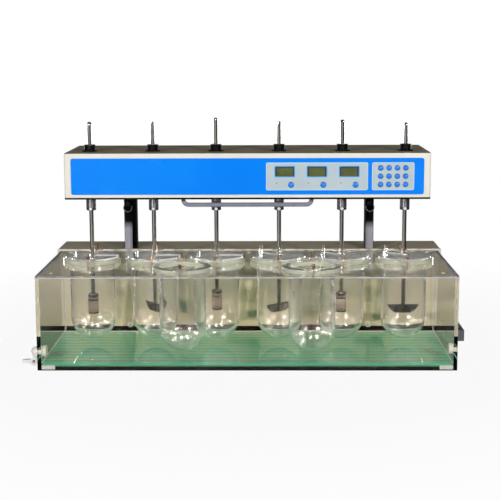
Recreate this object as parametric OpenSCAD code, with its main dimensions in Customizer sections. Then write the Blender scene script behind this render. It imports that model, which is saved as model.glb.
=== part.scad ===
// Dissolution tester: a row of stirring shafts on a lifting drive head, over glass vessels in a heated bath.
// Millimetres. X runs along the shaft row, Y points to the back and Z up.
// The origin is on the bench, straight under the middle of the shaft row.

/* [Shaft row] */
// Distance between neighbouring shafts
shaft_pitch = 148; // [146:1:152]
// Distance from the shaft row to the front row of vessels
front_row = 121.5; // [121:0.5:126]
// Diameter of a stirring rod
rod_d = 10; // [8:0.5:11]
// Height of a rod above the top of the head
rod_stand = 69.5; // [60:0.5:90]
// Diameter of the rounded tip that a paddle rod tapers to
rod_tip_d = 8; // [6:0.5:9]

/* [Paddles and baskets] */
// Height of a blade's lower edge above the inside of the vessel
blade_height = 62; // [55:1:75]
// Width of a blade across its top edge
blade_w = 75; // [70:0.5:80]
// Depth of a blade
blade_h = 19; // [16:0.5:22]
// Thickness of a blade
blade_t = 4; // [3:0.5:5]
// How much the radius of the arcs at a blade's ends is over half its width
blade_arc_more = 4; // [2:0.5:8]
// Height of a basket's floor above the inside of the vessel
basket_height = 58; // [50:1:75]
// Outer diameter of a basket
basket_d = 24; // [22:0.5:28]
// Height of a basket without its cap
basket_h = 34; // [30:1:40]
// Thickness of a basket's screen
screen_t = 0.9; // [0.6:0.1:1.2]
// Height of the rims at a basket's ends
basket_rim_h = 3.5; // [2:0.5:5]
// Windows round a basket's screen
screen_columns = 12; // [8:1:14]
// Rows of windows up a basket's screen
screen_rows = 5; // [3:1:6]
// Width of the bars between the windows
screen_bar = 2; // [1.5:0.25:2.5]
// Height of the cap on top of a basket
basket_cap_h = 6; // [4:0.5:9]
// Diameter of the boss that carries the cap
basket_boss_d = 15; // [13:0.5:18]
// Height of the boss that carries the cap
basket_boss_h = 7; // [5:0.5:10]

/* [Vessels] */
// Outer diameter of a vessel
vessel_od = 107; // [104:0.5:110]
// Thickness of the vessel glass
vessel_wall = 2.5; // [2:0.25:3.5]
// Height of a vessel
vessel_h = 196.5; // [190:0.5:205]
// Diameter of a vessel's flange
flange_d = 138; // [134:1:139]
// Thickness of a vessel's flange
flange_t = 9.5; // [7:0.5:11]
// Radius of the flange's upper edge
flange_edge_r = 2; // [1:0.25:2.5]
// Water under a vessel
vessel_floor_gap = 13; // [6:0.5:20]
// Play of a vessel in its hole
vessel_play = 1.5; // [0.5:0.25:2]

/* [Lids] */
// Diameter of a lid
lid_d = 126; // [120:0.5:126]
// Thickness of a lid
lid_t = 4; // [3:0.5:6]
// Width of the slot that lets a lid go round its shaft
lid_slot_w = 13; // [12.5:0.5:15]
// Diameter of the hole at the slot's end
lid_hole_d = 16; // [15.5:0.5:20]
// Depth of the ring that centres a lid in its vessel
lid_ring_h = 3; // [2:0.5:5]
// Thickness of the centring ring
lid_ring_t = 2; // [1.5:0.25:3]
// Play of the centring ring in the vessel
lid_ring_play = 0.8; // [0.5:0.1:1.5]
// Gap between a lid and the flange it rests on
lid_gap = 0.2; // [0.1:0.05:0.4]
// Diameter of the round peg on a lid
lid_peg_d = 8; // [6:0.5:10]
// Height of the peg above its lid
lid_peg_up = 22; // [15:1:30]
// Length of the peg under its lid
lid_peg_down = 24; // [15:1:30]
// Gap between the peg and the centring ring
lid_peg_gap = 1.2; // [1:0.1:4]
// Diameter of the small knob on a lid
lid_knob_d = 8; // [6:0.5:10]
// Height of the small knob
lid_knob_h = 6; // [4:0.5:9]

/* [Vessel clamps] */
// Length of a clamp along the flange
clamp_w = 32; // [26:1:33]
// How far a clamp reaches over the flange
clamp_in = 4.5; // [3:0.5:5]
// How far a clamp stands out from the flange
clamp_out = 11; // [9:0.5:11.5]
// Thickness of a clamp over the flange
clamp_t = 5; // [4:0.5:7]
// Gap between a clamp's foot and the flange
clamp_gap = 0.5; // [0.3:0.1:1]
// Diameter of a clamp screw
clamp_screw_d = 4; // [3:0.5:5]
// Diameter of a clamp screw's head
clamp_head_d = 8; // [7:0.5:9]
// Height of a clamp screw's head
clamp_head_h = 8.5; // [6:0.5:10]
// Height of the neck under a clamp screw's head
clamp_neck_h = 3; // [2:0.5:5]
// Diameter of the collar that presses on a clamp
clamp_collar_d = 7; // [6:0.5:9]
// Height of the collar that presses on a clamp
clamp_collar_h = 1.2; // [0.8:0.1:1.8]
// Length of the screw under the plate
clamp_screw_tail = 8; // [3:0.5:9]
// Play of a clamp screw in its hole
clamp_screw_play = 0.15; // [0.1:0.05:0.3]

/* [Bath] */
// Distance from an outer shaft to the end of the bath
bath_end_room = 100.5; // [92:0.5:115]
// Distance from the front clamps to the front of the bath
bath_front_margin = 1; // [1:0.5:12]
// Distance from the shaft row to the back of the bath
bath_back_room = 151.5; // [120:0.5:165]
// Thickness of the bath's walls
bath_wall = 8; // [6:0.5:10]
// Thickness of the bath's floor
bath_floor_t = 4.5; // [4:0.5:8]
// Height of the skirt under the bath's floor
skirt_h = 10.5; // [8:0.5:14]
// Thickness of the vessel plate
plate_t = 5; // [4:0.5:8]
// Thickness of the pad under the bath
pad_t = 1.5; // [1:0.25:3]
// Thickness of the green insulating mat
mat_t = 1; // [0.5:0.25:2]
// Distance of the pad's ends from the inside of the bath's end walls
pad_end_inset = 30; // [10:1:80]
// Play round the mat and the pad
mat_play = 0.5; // [0.3:0.1:2]

/* [Bath fittings] */
// Distance of the wall fittings behind the front of the bath
fitting_setback = 37.5; // [36:0.5:60]
// Height of the wall fittings
fitting_z = 36.5; // [34:0.5:50]
// Diameter of a wall fitting's tail
fitting_d = 16; // [12:0.5:18]
// Diameter of a wall fitting's nut inside the bath
fitting_nut_d = 26; // [22:0.5:30]
// Thickness of the nut inside the bath
fitting_nut_h = 7.5; // [6:0.5:14]
// Diameter of a wall fitting's outer flange
fitting_flange_d = 20; // [19:0.5:24]
// How much higher the plug at the right is than the tap
plug_rise = 6; // [0:0.5:10]
// Thickness of the plug outside the right wall
plug_h = 5; // [3:0.5:10]
// Distance of the tap's elbow from the bath wall
elbow_reach = 10; // [9.5:0.5:14]
// Diameter of the tap's elbow
elbow_d = 15; // [14:0.5:17]
// Drop from the wall fitting to the spout
spout_drop = 18.5; // [17:0.5:20]
// Diameter of the spout
spout_d = 12; // [10:0.5:13]
// Bore of the spout
spout_bore = 7; // [5:0.5:8]
// Length of the spout in front of the elbow's middle
spout_len = 27; // [26:0.5:36]
// Diameter of the tap lever's hub
lever_hub_d = 19; // [17:0.5:22]
// Width of the tap lever
lever_w = 11; // [8:0.5:12]
// Length of the tap lever
lever_len = 26; // [20:1:34]
// Thickness of the tap lever at its tip
lever_tip_t = 6; // [4:0.5:8]
// Distance of the water nozzles from the middle
nozzle_x = 298.5; // [240:0.5:320]
// Height of the water nozzles above the bath's floor
nozzle_rise = 14; // [8:0.5:18]
// Diameter of a water nozzle
nozzle_d = 9; // [7:0.5:10]
// Diameter of a water nozzle's nut
nozzle_nut_d = 15; // [13:0.5:16]
// Length of a water nozzle inside the bath
nozzle_len = 16; // [10:1:24]
// Play of a fitting in its hole
fitting_play = 0.2; // [0.1:0.05:0.4]

/* [Cabinet] */
// Gap between the bath and the cabinet
cabinet_gap = 2; // [1:0.5:6]
// Depth of the cabinet
cabinet_d = 142; // [125:1:180]
// How far the cabinet stands out past each end of the bath
cabinet_overhang = 10; // [4:0.5:20]
// How far the cabinet's top stands above the vessel plate
cabinet_rise = 0.5; // [0:0.5:12]
// Thickness of the cabinet's sheet
cabinet_t = 2; // [1.5:0.25:3]
// Radius of the cabinet's upright corners
cabinet_r = 4; // [3.5:0.5:8]
// Height of the plinth
plinth_h = 22; // [18:0.5:30]
// Distance of the plinth behind the cabinet's front
plinth_inset = 1; // [0.5:0.5:6]
// Height of the plinth's ear at the right
ear_h = 27; // [24:0.5:34]
// Width of the plinth's ear
ear_w = 38; // [30:0.5:50]
// Distance of the ear from the cabinet's end
ear_gap = 12; // [8:0.5:20]
// How far the ear reaches in front of the cabinet
ear_reach = 78; // [50:1:110]
// Length of the ear beside the cabinet
ear_root = 46; // [30:1:70]
// Length of a cooling slot in the cabinet's back
vent_len = 60; // [40:1:80]
// Width of a cooling slot
vent_w = 4; // [3:0.5:6]
// Distance between cooling slots
vent_pitch = 11; // [9:0.5:14]
// Cooling slots in a group
vent_count = 7; // [4:1:9]
// Width of the mains inlet's cut-out
inlet_w = 28; // [27:0.5:30]
// Height of the mains inlet's cut-out
inlet_h = 20.5; // [20:0.5:24]
// Width of the mains inlet's rim outside its cut-out
inlet_rim = 4; // [3:0.5:6]
// Thickness of the mains inlet's rim
inlet_rim_t = 2.5; // [2:0.25:3.5]
// Depth of the mains inlet's recess
inlet_recess = 17; // [15:0.5:20]
// Thickness of the mains inlet's walls
inlet_wall = 2; // [1.5:0.25:2.5]
// Length of the mains inlet's blades
inlet_blade_len = 11; // [9:0.5:12]
// Distance between the mains inlet's blades
inlet_blade_pitch = 7; // [6.5:0.5:7.5]

/* [Lift] */
// Distance of a lift post from the middle
post_x = 302.5; // [270:0.5:320]
// Distance of the posts behind the cabinet's front
post_setback = 21; // [14:0.5:28]
// Width of a lift bar
bar_w = 14; // [10:0.5:16]
// Depth of a lift bar
bar_d = 32; // [26:0.5:38]
// Thickness of a post's front and back walls
post_wall = 6.5; // [5.5:0.5:8]
// Thickness of a post's side walls
post_side = 3.3; // [2.5:0.1:5]
// Clearance of a lift bar in its post
guide_clear = 0.2; // [0.1:0.05:0.4]
// Gap between a post and the head above it
post_gap = 4.5; // [2:0.5:10]
// Height of the stop that a lift bar comes down on
bar_stop_z = 60; // [45:1:80]
// Distance of a lift bar's end under the top of the head
bar_top_drop = 20; // [10:1:40]
// How far the head lifts
lift_travel = 150; // [120:1:160]
// Width of a post's foot
post_foot_w = 60; // [40:1:70]
// Depth of a post's foot
post_foot_d = 66; // [54:1:76]
// Width of the flat bar that stiffens the left post
stay_w = 9.5; // [8:0.5:12]
// Depth of that bar
stay_d = 30; // [24:0.5:36]
// Distance of that bar behind the post's front
stay_setback = 6; // [3:0.5:10]
// Thickness of a post's foot
post_foot_t = 6; // [4:0.5:8]
// Distance of the lock pins under the head
pin_drop = 38.5; // [34:0.5:60]
// Diameter of a lock pin
pin_d = 8; // [6:0.5:9]
// Length of the sleeve round a lock pin
pin_sleeve_len = 7; // [5:0.5:10]
// Diameter of the sleeve round a lock pin
pin_sleeve_d = 14; // [12.5:0.5:16]
// Running clearance of a lock pin and a rod
run_clear = 0.05; // [0.02:0.01:0.08]
// Gap between a lock pin's nose and its lift bar
pin_nose_gap = 0.3; // [0.2:0.05:0.5]
// Diameter of a lock pin's eye
pin_eye_d = 11; // [9.5:0.5:13]
// Length of a lock pin's eye
pin_eye_len = 8; // [6:0.5:10]
// Radius of a pull ring at the middle of its wire
ring_r = 10; // [8:0.5:12]
// Diameter of a pull ring's wire
ring_wire_d = 2.2; // [1.8:0.1:3]

/* [Head] */
// Gap between the vessel plate and the head
head_gap = 154.5; // [150:0.5:170]
// Distance from an outer shaft to the end of the head
head_end_room = 52; // [50:0.5:70]
// Distance from the shaft row to the head's front
head_front = 64; // [60:0.5:72]
// Height of the head with its pan
head_h = 106; // [104:0.5:120]
// Thickness of the head's sheet
cover_t = 2.5; // [1.5:0.25:3]
// Radius of the head's upright corners
cover_r = 5; // [4.5:0.5:10]
// Thickness of the head's pan
pan_t = 4; // [3:0.25:6]
// Length of the pull bar
pull_len = 309; // [240:1:340]
// Diameter of the pull bar
pull_d = 10; // [8:0.5:11]
// Distance from the shaft row to the pull bar
pull_front = 30; // [26:0.5:40]
// Distance of the pull bar's middle under the head
pull_drop = 16.5; // [16:0.5:30]
// Radius of the pull bar's bends
pull_bend_r = 12; // [11:0.5:14]

/* [Drive] */
// Diameter of a spindle
spindle_d = 17; // [16:0.5:18]
// Diameter of the collar on a spindle under the head
collar_d = 23; // [20:0.5:26]
// Height of the collar
collar_h = 24; // [18:0.5:28]
// Gap between the collar and the head
collar_gap = 2; // [1:0.25:4]
// Diameter of the nut under the collar
collar_nut_d = 16; // [14.5:0.5:18]
// Height of the nut under the collar
collar_nut_h = 7; // [5:0.5:9]
// Diameter of a chuck's hub
chuck_d = 24.6; // [22:0.2:28]
// Diameter of a chuck's flared top
chuck_top_d = 26.4; // [24:0.2:30]
// Height of a chuck's hub
chuck_h = 13.5; // [11:0.5:18]
// Diameter of a chuck's base
chuck_base_d = 36; // [30:0.5:40]
// Thickness of a chuck's base
chuck_base_t = 2; // [1.5:0.25:3]
// Gap between a chuck and the head
chuck_gap = 0.5; // [0.3:0.1:1]
// Height of a chuck's grip over the spindle's end
chuck_grip_h = 5; // [4:0.5:7]
// Outer diameter of a spindle bearing
bearing_od = 35; // [32:0.5:38]
// Width of a spindle bearing
bearing_w = 10; // [8:0.5:12]
// Diameter of a bearing's boss on the pan
boss_d = 46; // [44:0.5:50]
// Height of a bearing's boss
boss_h = 16; // [12:0.5:20]
// Height of the pulleys above the pan
pulley_rise = 56; // [54:0.5:60]
// Width of the drive belt
belt_w = 12; // [9:0.5:14]
// Thickness of the drive belt
belt_t = 1.6; // [1.2:0.1:2.2]
// Gap between the belt and its pulleys
belt_gap = 0.3; // [0.2:0.05:0.4]
// Diameter of a spindle's pulley
spindle_pulley_d = 50; // [46:0.5:56]
// Diameter of the motor's pulley
motor_pulley_d = 36; // [30:0.5:46]
// Height of a pulley's rims
pulley_rim = 2.5; // [2.4:0.1:3]
// Thickness of a pulley's rims
pulley_rim_t = 1.5; // [1:0.25:2]
// Distance of the motor behind the shaft row
motor_setback = 80; // [72:0.5:110]
// Width of the motor
motor_w = 80; // [60:0.5:84]
// Height of the motor
motor_h = 48; // [40:0.5:50]
// Diameter of the motor's shaft
motor_shaft_d = 10; // [8:0.5:12]
// Length of the motor's shaft inside the motor
motor_shaft_in = 20; // [10:1:30]
// Height of the drive frame above the pan
frame_rise = 77; // [76:0.5:84]
// Width of the drive frame
frame_w = 60; // [52:1:66]
// Thickness of the drive frame
frame_t = 8; // [6:0.5:9]
// Distance of the drive frame's legs from the ends of the belt
frame_leg_gap = 6; // [3:0.5:8]

/* [Front panel] */
// Width of the blue front sheet
sheet_w = 812; // [790:1:830]
// Height of the blue front sheet
sheet_h = 84; // [76:0.5:90]
// Thickness of the blue front sheet
sheet_t = 1.2; // [0.8:0.1:2]
// Height of the sheet's middle above the bottom of the head
sheet_rise = 53; // [50:0.5:56]
// Radius of the sheet's corners
sheet_r = 5; // [3:0.5:8]
// Thickness of the grey panels
panel_t = 1; // [0.6:0.1:2]
// Height of the grey panels
panel_h = 64; // [60:0.5:70]
// Radius of the grey panels' corners
panel_r = 4; // [3:0.5:8]
// Width of the display panel
display_panel_w = 234; // [225:1:240]
// Distance between the two grey panels
panel_gap = 9; // [5:0.5:14]
// Width of the key panel
key_panel_w = 97; // [90:0.5:100]
// Distance of the key panel from the right end of the blue sheet
key_panel_inset = 22.5; // [15:0.5:30]
// Distance between displays
display_pitch = 74; // [68:0.5:76]
// Width of a display's window
display_w = 43.5; // [40:0.5:46]
// Height of a display's window
display_h = 22.5; // [20:0.5:24]
// Height of the displays above the panels' middle
display_rise = 11; // [10:0.5:13]
// Overlap of a display's body behind its window
display_lap = 3; // [2:0.5:4]
// Depth of a display's body
display_depth = 8; // [7:0.5:11]
// Distance of the mode buttons under the panels' middle
mode_drop = 19.5; // [18:0.5:21]
// Distance of a mode button to the right of its display's middle
mode_shift = 14.5; // [10:0.5:16]
// Diameter of a mode button
mode_d = 13.6; // [11:0.2:14]
// Distance between keys
key_pitch = 19.1; // [18:0.1:20]
// Diameter of a key
key_d = 12.4; // [10:0.2:13]
// Height of a button's dome above its panel
button_stand = 2.4; // [1.5:0.1:4]
// Clearance of a button in its hole
button_clear = 0.3; // [0.2:0.05:0.4]
// Width of the collar that keeps a button in
button_collar = 1.4; // [1:0.1:1.6]
// Thickness of that collar
button_collar_t = 1.5; // [1:0.25:2]
// Gap between a button's collar and the head's front wall
button_seat_gap = 0.2; // [0.1:0.05:0.3]
// Length of a button's stem behind its collar
button_stem_len = 1.8; // [1:0.1:2.2]
// Gap between a button's stem and its switch
switch_gap = 1.2; // [1:0.1:1.4]
// Width of a switch on the control board
switch_w = 6; // [5:0.5:7]
// Thickness of the control board
board_t = 1.6; // [1.2:0.2:2.4]
// Diameter of the control board's pillars
pillar_d = 6; // [5:0.5:8]

/* [Hidden] */
$fn = 64;
shaft_count = 6;
mode_count = 3;
key_columns = 4;
key_rows = 3;
overlap = 1;
// How much higher each shaft is set in its chuck than the first
shaft_rise = [0, 0, 9, 0, 3.5, -3.5];
// How far each blade is turned from the row
blade_turn = [0, -48, 0, 38, 0, 0];
// Direction of each lid's slot
lid_slot_turn = [0, 0, 0, 135, 135, 135];
lid_knob_turn = 157;
lid_knob_reach = 48;

// Heights, from the bench up
floor_top = skirt_h + bath_floor_t;
vessel_bottom = floor_top + vessel_floor_gap;
flange_top = vessel_bottom + vessel_h;
plate_top = flange_top - flange_t;
bath_h = plate_top - plate_t;
vessel_inside = vessel_bottom + vessel_wall;
lid_bottom = flange_top + lid_gap;
lid_top = lid_bottom + lid_t;
cabinet_top = plate_top + cabinet_rise;
head_bottom = plate_top + head_gap;
pan_top = head_bottom + pan_t;
head_top = head_bottom + head_h;
cover_inside = head_top - cover_t;
panel_z = head_bottom + sheet_rise;
display_z = panel_z + display_rise;
mode_z = panel_z - mode_drop;
pulley_z = pan_top + pulley_rise;
frame_z = pan_top + frame_rise;
post_top = head_bottom - post_gap;
bar_top = head_top - bar_top_drop;
pin_z = head_bottom - pin_drop;
pull_z = head_bottom - pull_drop;
rod_top = head_top + rod_stand;
nozzle_z = floor_top + nozzle_rise;
plug_z = fitting_z + plug_rise;
spout_z = fitting_z - spout_drop;
inlet_z = plinth_h + (cabinet_top - plinth_h) / 3;

// Places along X
row_half = (shaft_count - 1) / 2 * shaft_pitch;
bath_w = 2 * (row_half + bath_end_room);
head_w = 2 * (row_half + head_end_room);
cabinet_w = bath_w + 2 * cabinet_overhang;
bath_inside_w = bath_w - 2 * bath_wall;
inlet_x = cabinet_w / 4;
post_w = bar_w + 2 * (guide_clear + post_side);
stay_x = -post_x + post_w / 2;
key_panel_x = sheet_w / 2 - key_panel_inset - key_panel_w / 2;
display_panel_x = key_panel_x - key_panel_w / 2 - panel_gap - display_panel_w / 2;

// Places along Y
flange_r = flange_d / 2;
bath_front_y = -(front_row + flange_r + clamp_out + bath_front_margin);
bath_back_y = bath_back_room;
bath_d = bath_back_y - bath_front_y;
bath_mid_y = (bath_front_y + bath_back_y) / 2;
bath_inside_d = bath_d - 2 * bath_wall;
cabinet_front_y = bath_back_y + cabinet_gap;
cabinet_mid_y = cabinet_front_y + cabinet_d / 2;
cabinet_back_y = cabinet_front_y + cabinet_d;
post_front_y = cabinet_front_y + post_setback;
bar_front_y = post_front_y + post_wall + guide_clear;
post_d = bar_d + 2 * (guide_clear + post_wall);
head_front_y = -head_front;
head_back_y = bar_front_y;
head_d = head_back_y - head_front_y;
head_mid_y = (head_front_y + head_back_y) / 2;
sheet_front_y = head_front_y - sheet_t;
panel_front_y = sheet_front_y - panel_t;
wall_inside_y = head_front_y + cover_t;
button_front_y = panel_front_y - button_stand;
collar_front_y = wall_inside_y + button_seat_gap;
button_back_y = collar_front_y + button_collar_t + button_stem_len;
switch_front_y = button_back_y + switch_gap;
board_front_y = wall_inside_y + display_depth;
fitting_y = bath_front_y + fitting_setback;
lever_y = fitting_y - spout_len + lever_w / 2 + overlap;

// Round parts
vessel_r = vessel_od / 2;
vessel_bore_r = vessel_r - vessel_wall;
rod_r = rod_d / 2;
rod_bore_r = rod_r + run_clear;
spindle_r = spindle_d / 2;
belt_r = spindle_pulley_d / 2 + belt_gap;
motor_belt_r = motor_pulley_d / 2 + belt_gap;
clamp_screw_reach = flange_r + clamp_gap + (clamp_out - clamp_gap) / 2;
blade_arc_r = blade_w / 2 + blade_arc_more;
blade_drop = sqrt(pow(blade_arc_r, 2) - pow(blade_w / 2, 2));

acrylic = "#d9ece6";
glass = "#e3f1ee";
cream = "#ece7d8";
black = "#17171a";
steel = "#8f9296";
dark_steel = "#55565a";
brass = "#b58d3d";
white = "#f2f2ee";
blue = "#0f86f5";

// Places of what repeats
function shaft_x(i) = (i - (shaft_count + 1) / 2) * shaft_pitch;
function rear_places() = [for (i = [1:shaft_count]) [shaft_x(i), 0]];
function front_places() = [for (side = [-1, 1]) [side * shaft_pitch, -front_row]];
function vessel_places() = concat(rear_places(), front_places());
function display_x(i) = display_panel_x + (i - (mode_count + 1) / 2) * display_pitch;
function mode_x(i) = display_x(i) + mode_shift;
function key_x(k) = key_panel_x + ((k - 1) % key_columns - (key_columns - 1) / 2) * key_pitch;
function key_z(k) = panel_z + ((key_rows - 1) / 2 - floor((k - 1) / key_columns)) * key_pitch;
function basket_floor(i) = vessel_inside + basket_height + shaft_rise[i - 1];
function blade_bottom(i) = vessel_inside + blade_height + shaft_rise[i - 1];
function is_basket(i) = i % 2 == 1;

// A rectangle with round corners, centred
module round_rect(w, h, r) {
    square([w - 2 * r, h], center = true);
    square([w, h - 2 * r], center = true);
    for (sx = [-1, 1], sy = [-1, 1])
        translate([sx * (w / 2 - r), sy * (h / 2 - r)])
            circle(r);
}

// A box from its lowest corner
module box(x, y, z, w, d, h) {
    translate([x, y, z])
        cube([w, d, h]);
}

// A plate that stands upright, with its front face at y and its outline drawn from the front
module upright(y, t) {
    translate([0, y + t, 0])
        rotate([90, 0, 0])
            linear_extrude(t)
                children();
}

// A rod along Y from y0 to y1
module rod_y(x, y0, y1, z, d) {
    translate([x, y0, z])
        rotate([-90, 0, 0])
            cylinder(h = y1 - y0, d = d);
}

// A rod along X from x0 to x1
module rod_x(x0, x1, y, z, d) {
    translate([x0, y, z])
        rotate([0, 90, 0])
            cylinder(h = x1 - x0, d = d);
}

// Holes for the rods, seen from above
module row_holes(d) {
    for (i = [1:shaft_count])
        translate([shaft_x(i), 0])
            circle(d = d);
}

// Holes for the windows, the mode buttons and the keys, seen from the front
module panel_holes() {
    for (i = [1:mode_count]) {
        translate([display_x(i), display_z])
            square([display_w, display_h], center = true);
        translate([mode_x(i), mode_z])
            circle(d = mode_d + 2 * button_clear);
    }
    for (k = [1:key_columns * key_rows])
        translate([key_x(k), key_z(k)])
            circle(d = key_d + 2 * button_clear);
}

// The bath: a clear box on a low skirt, with holes for its fittings
module bath_tank() {
    inside_x = -bath_inside_w / 2;
    inside_y = bath_front_y + bath_wall;
    color(acrylic, 0.4)
        difference() {
            box(-bath_w / 2, bath_front_y, 0, bath_w, bath_d, bath_h);
            box(inside_x, inside_y, floor_top, bath_inside_w, bath_inside_d, bath_h);
            box(inside_x, inside_y, -overlap, bath_inside_w, bath_inside_d, skirt_h + overlap);
            for (side = [-1, 1]) {
                rod_x(side * bath_w / 2 - bath_wall - overlap, side * bath_w / 2 + bath_wall + overlap,
                    fitting_y, side > 0 ? plug_z : fitting_z, fitting_d + 2 * fitting_play);
                rod_y(side * nozzle_x, bath_back_y - bath_wall - overlap, bath_back_y + overlap,
                    nozzle_z, nozzle_d + 2 * fitting_play);
            }
        }
}

// The green mat on the pad, seen through the bath's clear floor
module insulating_mat() {
    color("#6fae86")
        translate([0, bath_mid_y, pad_t])
            linear_extrude(mat_t)
                square([bath_inside_w - 2 * mat_play, bath_inside_d - 2 * mat_play], center = true);
}

// The black rubber pad inside the bath's skirt
module bath_pad() {
    color(black)
        translate([0, bath_mid_y, 0])
            linear_extrude(pad_t)
                square([bath_inside_w - 2 * pad_end_inset, bath_inside_d - 2 * mat_play], center = true);
}

// The black plinth under the cabinet, with the ear that reaches forward past the bath's right end
module base_plinth() {
    plinth_w = cabinet_w - 2 * plinth_inset;
    plinth_d = cabinet_d - 2 * plinth_inset;
    ear_x = cabinet_w / 2 + ear_gap;
    ear_y = cabinet_front_y - ear_reach;
    ear_d = ear_reach + ear_root;
    color(black)
        union() {
            translate([0, cabinet_mid_y, 0])
                linear_extrude(plinth_h)
                    square([plinth_w, plinth_d], center = true);
            box(ear_x, ear_y, 0, ear_w, ear_d, ear_h);
            box(plinth_w / 2 - overlap, cabinet_front_y + plinth_inset, 0,
                ear_x - plinth_w / 2 + 2 * overlap, ear_root - plinth_inset, plinth_h);
        }
}

// The cabinet behind the bath: a sheet-metal shell that is open underneath
module rear_cabinet() {
    shell_h = cabinet_top - plinth_h;
    vent_z = plinth_h + shell_h / 2;
    color(cream)
        difference() {
            translate([0, cabinet_mid_y, plinth_h])
                linear_extrude(shell_h)
                    round_rect(cabinet_w, cabinet_d, cabinet_r);
            translate([0, cabinet_mid_y, plinth_h - overlap])
                linear_extrude(shell_h - cabinet_t + overlap)
                    round_rect(cabinet_w - 2 * cabinet_t, cabinet_d - 2 * cabinet_t, cabinet_r - cabinet_t);
            for (side = [-1, 1]) {
                box(side * post_x - post_w / 2 - guide_clear, post_front_y - guide_clear, plinth_h,
                    post_w + 2 * guide_clear, post_d + 2 * guide_clear, shell_h + overlap);
                rod_y(side * nozzle_x, cabinet_front_y - overlap, cabinet_front_y + cabinet_t + overlap,
                    nozzle_z, nozzle_d + 2 * fitting_play);
            }
            box(stay_x - overlap, post_front_y + stay_setback - guide_clear, plinth_h,
                stay_w + overlap + guide_clear, stay_d + 2 * guide_clear, shell_h + overlap);
            box(inlet_x - inlet_w / 2, cabinet_back_y - cabinet_t - overlap, inlet_z - inlet_h / 2,
                inlet_w, cabinet_t + 2 * overlap, inlet_h);
            for (group = [-1, 1], i = [1:vent_count])
                box(group * vent_len - vent_len / 2 - cabinet_w / 6, cabinet_back_y - cabinet_t - overlap,
                    vent_z + (i - (vent_count + 1) / 2) * vent_pitch - vent_w / 2,
                    vent_len - vent_pitch, cabinet_t + 2 * overlap, vent_w);
        }
}

// The mains inlet in the cabinet's back: a rimmed box with a recess for the plug and three blades
module mains_inlet() {
    body_w = inlet_w - 2 * fitting_play;
    body_h = inlet_h - 2 * fitting_play;
    mouth_y = cabinet_back_y + inlet_rim_t;
    floor_y = mouth_y - inlet_recess;
    color(black)
        union() {
            difference() {
                union() {
                    upright(cabinet_back_y, inlet_rim_t)
                        translate([inlet_x, inlet_z])
                            round_rect(inlet_w + 2 * inlet_rim, inlet_h + 2 * inlet_rim, inlet_rim);
                    box(inlet_x - body_w / 2, floor_y - inlet_wall, inlet_z - body_h / 2,
                        body_w, inlet_recess + inlet_wall - inlet_rim_t + overlap, body_h);
                }
                box(inlet_x - body_w / 2 + inlet_wall, floor_y, inlet_z - body_h / 2 + inlet_wall,
                    body_w - 2 * inlet_wall, inlet_recess + overlap, body_h - 2 * inlet_wall);
            }
            for (i = [-1, 0, 1])
                box(inlet_x + i * inlet_blade_pitch - 1, floor_y - overlap, inlet_z - 2 + (i == 0 ? 2 : -2),
                    2, inlet_blade_len + overlap, 4);
        }
}

// One fixed lift post: a tube on a foot, with the sleeve of its lock pin
module lift_post(x) {
    foot_y = post_front_y + post_d / 2 - post_foot_d / 2;
    difference() {
        union() {
            box(x - post_w / 2, post_front_y, plinth_h, post_w, post_d, post_top - plinth_h);
            box(x - post_foot_w / 2, foot_y, plinth_h, post_foot_w, post_foot_d, post_foot_t);
            rod_y(x, post_front_y - pin_sleeve_len, post_front_y + overlap, pin_z, pin_sleeve_d);
        }
        box(x - bar_w / 2 - guide_clear, bar_front_y - guide_clear, bar_stop_z,
            bar_w + 2 * guide_clear, bar_d + 2 * guide_clear, post_top);
        rod_y(x, post_front_y - pin_sleeve_len - overlap, bar_front_y, pin_z, pin_d + 2 * run_clear);
    }
}

// The flat bar welded to the left post's inner side
module post_stay() {
    box(stay_x - overlap, post_front_y + stay_setback, plinth_h,
        stay_w + overlap, stay_d, post_top - plinth_h);
}

module lift_posts() {
    color(black) {
        union() {
            lift_post(-post_x);
            post_stay();
        }
        lift_post(post_x);
    }
}

// The clear plate that the vessels hang in
module vessel_plate() {
    color(acrylic, 0.4)
        translate([0, 0, bath_h])
            linear_extrude(plate_t)
                difference() {
                    translate([0, bath_mid_y])
                        square([bath_w, bath_d], center = true);
                    for (place = vessel_places())
                        translate(place) {
                            circle(d = vessel_od + 2 * vessel_play);
                            for (side = [-1, 1])
                                translate([0, side * clamp_screw_reach])
                                    circle(d = clamp_screw_d + 2 * clamp_screw_play);
                        }
                }
}

// Half of a round-bottomed cup's outline
module cup_outline(r, bottom, top) {
    translate([0, bottom + r])
        square([r, top - bottom - r]);
    intersection() {
        translate([0, bottom + r])
            circle(r);
        translate([0, bottom])
            square([r, r]);
    }
}

// One glass vessel, with a round bottom and a thick flange
module vessel() {
    rotate_extrude()
        difference() {
            union() {
                cup_outline(vessel_r, vessel_bottom, flange_top);
                translate([0, plate_top])
                    square([flange_r - flange_edge_r, flange_t]);
                translate([0, plate_top])
                    square([flange_r, flange_t - flange_edge_r]);
                translate([flange_r - flange_edge_r, flange_top - flange_edge_r])
                    circle(flange_edge_r);
            }
            cup_outline(vessel_bore_r, vessel_inside, flange_top + overlap);
        }
}

module vessels() {
    color(glass, 0.35)
        for (place = vessel_places())
            translate(place)
                vessel();
}

// One clamp: a foot on the plate and a tongue over the flange, pointing to +Y
module vessel_clamp() {
    difference() {
        union() {
            box(-clamp_w / 2, flange_r + clamp_gap, plate_top,
                clamp_w, clamp_out - clamp_gap, flange_t + clamp_t);
            box(-clamp_w / 2, flange_r - clamp_in, flange_top, clamp_w, clamp_in + clamp_out, clamp_t);
        }
        translate([0, clamp_screw_reach, plate_top - overlap])
            cylinder(h = flange_t + clamp_t + 2 * overlap, d = clamp_screw_d + 2 * clamp_screw_play);
    }
}

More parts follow.
